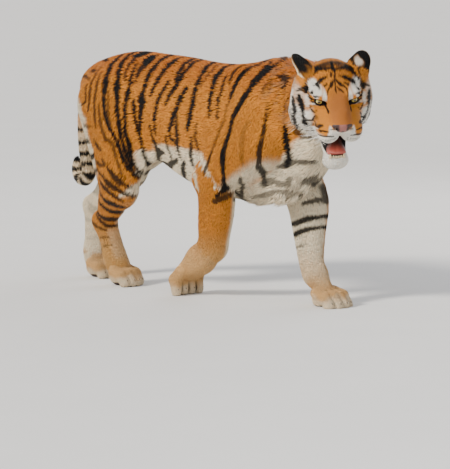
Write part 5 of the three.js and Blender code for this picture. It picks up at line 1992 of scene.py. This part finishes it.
def whisker_tree(finish):
    """A tree that puts a bent, pointed whisker on every vertex."""
    tree = bpy.data.node_groups.new("whiskers", "GeometryNodeTree")
    face = tree.interface
    face.new_socket("Geometry", in_out="INPUT", socket_type="NodeSocketGeometry")
    thick = face.new_socket("Thickness", in_out="INPUT", socket_type="NodeSocketFloat")
    droop = face.new_socket("Droop", in_out="INPUT", socket_type="NodeSocketFloat")
    face.new_socket("Geometry", in_out="OUTPUT", socket_type="NodeSocketGeometry")
    start = tree.nodes.new("NodeGroupInput")
    end = tree.nodes.new("NodeGroupOutput")

    def add(kind, links=None, **values):
        made = tree.nodes.new(kind)
        for key, value in values.items():
            if hasattr(made, key):
                setattr(made, key, value)
            else:
                made.inputs[key.replace("_", " ")].default_value = value
        for name, socket in (links or {}).items():
            tree.links.new(socket, made.inputs[name])
        return made

    # one whisker, a metre long along z, bent towards x
    bend = add("ShaderNodeCombineXYZ", {"X": start.outputs["Droop"]}, Z=1.0)
    hair = add("GeometryNodeCurveQuadraticBezier", {"End": bend.outputs[0]}, Resolution=10,
               Start=(0, 0, 0), Middle=(0, 0, 0.55))
    along = add("GeometryNodeSplineParameter")
    thin = add("ShaderNodeMath", {1: along.outputs["Factor"]}, operation="SUBTRACT")
    thin.inputs[0].default_value = 1.0
    radius = add("ShaderNodeMath", {0: thin.outputs[0], 1: start.outputs["Thickness"]},
                 operation="MULTIPLY")
    sized = add("ShaderNodeMath", {0: radius.outputs[0]}, operation="ADD")
    sized.inputs[1].default_value = WHISKER_TIP
    ringed = add("GeometryNodeCurvePrimitiveCircle", Resolution=5, Radius=1.0)
    tube = add("GeometryNodeCurveToMesh", {
        "Curve": hair.outputs[0], "Profile Curve": ringed.outputs["Curve"],
        "Scale": sized.outputs[0]}, Fill_Caps=True)
    aim = add("GeometryNodeInputNamedAttribute", data_type="FLOAT_VECTOR")
    aim.inputs["Name"].default_value = "aim"
    reach_of = add("GeometryNodeInputNamedAttribute", data_type="FLOAT")
    reach_of.inputs["Name"].default_value = "reach"
    facing = add("FunctionNodeAlignRotationToVector", {"Vector": aim.outputs["Attribute"]}, axis="Z")
    placed = add("GeometryNodeInstanceOnPoints", {
        "Points": start.outputs["Geometry"], "Instance": tube.outputs["Mesh"],
        "Rotation": facing.outputs["Rotation"], "Scale": reach_of.outputs["Attribute"]})
    real = add("GeometryNodeRealizeInstances", {"Geometry": placed.outputs["Instances"]})
    coloured = add("GeometryNodeSetMaterial", {"Geometry": real.outputs["Geometry"]})
    coloured.inputs["Material"].default_value = finish
    tree.links.new(coloured.outputs["Geometry"], end.inputs["Geometry"])
    return tree, {"Thickness": thick.identifier, "Droop": droop.identifier}


def whisker_material():
    made, wire, shader = material("whisker", 0.3)
    colour = mix_colours(wire, noise(wire, 40, 2), linear(236, 230, 218), linear(255, 252, 246))
    feed(shader, Base_Color=colour, Roughness=0.2 + 0.2 * noise(wire, 80, 2))
    return made


roots, aims, reaches = [], [], []
for sign in SIDES.values():
    for row in range(4):
        for spot in range(5):
            place = [130 - spot * 13, sign * (38 + spot * 11), -60 - row * 10 - spot * 2]
            roots.append(in_head(place))
            aims.append(HEAD @ [-0.3 - 0.15 * spot, sign * 0.6, -0.45 - 0.12 * row])
            reaches.append((60 + 14 * spot) * rng.uniform(0.85, 1.15))
    for spot in range(4):
        roots.append(in_head([38, sign * (52 + spot * 9), 34]))
        aims.append(HEAD @ [0.45, sign * (0.25 + 0.15 * spot), 0.7])
        reaches.append(38 * rng.uniform(0.8, 1.2))
roots = np.array(roots)
roots = settle(roots) - slope(skin, roots) * WHISKER_SINK
root_mesh = bpy.data.meshes.new("whisker_roots")
root_mesh.from_pydata(metres(roots).tolist(), [], [])
aim_of_root = root_mesh.attributes.new("aim", "FLOAT_VECTOR", "POINT")
aim_of_root.data.foreach_set("vector", unit(np.array(aims)).astype(np.float32).ravel())
reach_of_root = root_mesh.attributes.new("reach", "FLOAT", "POINT")
reach_of_root.data.foreach_set("value", np.array(reaches, np.float32) * MM)
holder = in_scene("whisker_roots", root_mesh)
whisker_finish = whisker_material()
tree, sockets = whisker_tree(whisker_finish)
modifier = holder.modifiers.new("Whiskers", "NODES")
modifier.node_group = tree
modifier[sockets["Thickness"]] = WHISKER_THICKNESS
modifier[sockets["Droop"]] = WHISKER_DROOP
whisker_mesh = applied(holder)
whisker_mesh.name = "whiskers"
new_piece("whiskers", whisker_mesh, whisker_finish, "tooth")
print("whiskers:", len(reaches), "in", len(whisker_mesh.polygons), "faces")


# %% [markdown]
# ## Floor and light
#
# The tiger stands on a pale floor. The main light is a very broad sun, high on the camera's left. A
# weaker lamp fills the shadows, another lights the back from behind, and a pale sky does the rest.

# %% Stage
FLOOR_HALF = 90.0
MIDDLE = (0.0, 0.0, 0.55)


def stage_floor():
    """A square floor that reaches past the end of the view."""
    mesh = bpy.data.meshes.new("floor")
    corners = [(FLOOR_HALF * x, FLOOR_HALF * y, 0) for x, y in ((-1, -1), (1, -1), (1, 1), (-1, 1))]
    mesh.from_pydata(corners, [], [(0, 1, 2, 3)])
    made, wire, shader = material("floor", 0.8)
    feed(shader, Base_Color=mix_colours(wire, noise(wire, 3), (0.72, 0.71, 0.69), (0.76, 0.75, 0.73)))
    mesh.materials.append(made)
    floor = in_scene("floor", mesh)


def placed_light(lamp, place, colour):
    """Puts a lamp in its place and aims it at the animal's middle."""
    lamp.color = colour
    light = in_scene(lamp.name, lamp)
    light.location = place
    light.rotation_euler = (Vector(MIDDLE) - Vector(place)).to_track_quat("-Z", "Y").to_euler()


def soft_light(name, place, size, watts, colour=(1, 1, 1)):
    lamp = bpy.data.lights.new(name, "AREA")
    lamp.size = size
    lamp.energy = watts
    placed_light(lamp, place, colour)


def soft_sun(place, degrees, strength, colour):
    """A very broad far light, so that the floor is as bright far off as it is near."""
    lamp = bpy.data.lights.new("key", "SUN")
    lamp.angle = math.radians(degrees)
    lamp.energy = strength
    placed_light(lamp, place, colour)


stage_floor()
soft_sun((-1.1, -3.6, 3.0), 12.0, 4.8, (1.0, 0.95, 0.87))
soft_light("fill", (4.5, -2.6, 2.4), 3.0, 45, (0.94, 0.97, 1.0))
soft_light("back", (-1.0, 4.0, 3.0), 2.5, 60)
world = bpy.data.worlds.new("studio")
world.use_nodes = True
sky = world.node_tree.nodes["Background"]
sky.inputs["Color"].default_value = (0.93, 0.95, 1.0, 1.0)
sky.inputs["Strength"].default_value = 0.75
bpy.context.scene.world = world
print("floor and three lights")


# %% [markdown]
# ## The camera
#
# A wild animal is seen from afar through a long lens, which keeps its near and far legs nearly the
# same size. The camera stands thirteen metres off at about eye level for a person, and looks
# slightly down.

# %% Camera
BEARING = 44.0
DISTANCE = 13.0
CAMERA_HEIGHT = 1.73
LOOK_DOWN = 6.52
LENS = 251.46
camera_data = bpy.data.cameras.new("camera")
camera_data.lens = LENS
camera = in_scene("camera", camera_data)
around = math.radians(BEARING)
camera.location = (DISTANCE * math.sin(around) + ROW_SHIFT[0] * MM,
                   -DISTANCE * math.cos(around) + ROW_SHIFT[1] * MM, CAMERA_HEIGHT)
camera.rotation_euler = (math.radians(90 - LOOK_DOWN), 0, around)
bpy.context.scene.camera = camera
print("camera at", tuple(round(v, 2) for v in camera.location))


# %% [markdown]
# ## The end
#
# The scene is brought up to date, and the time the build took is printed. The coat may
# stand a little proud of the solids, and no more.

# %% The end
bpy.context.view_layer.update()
print("made in", round(time.time() - started), "s")
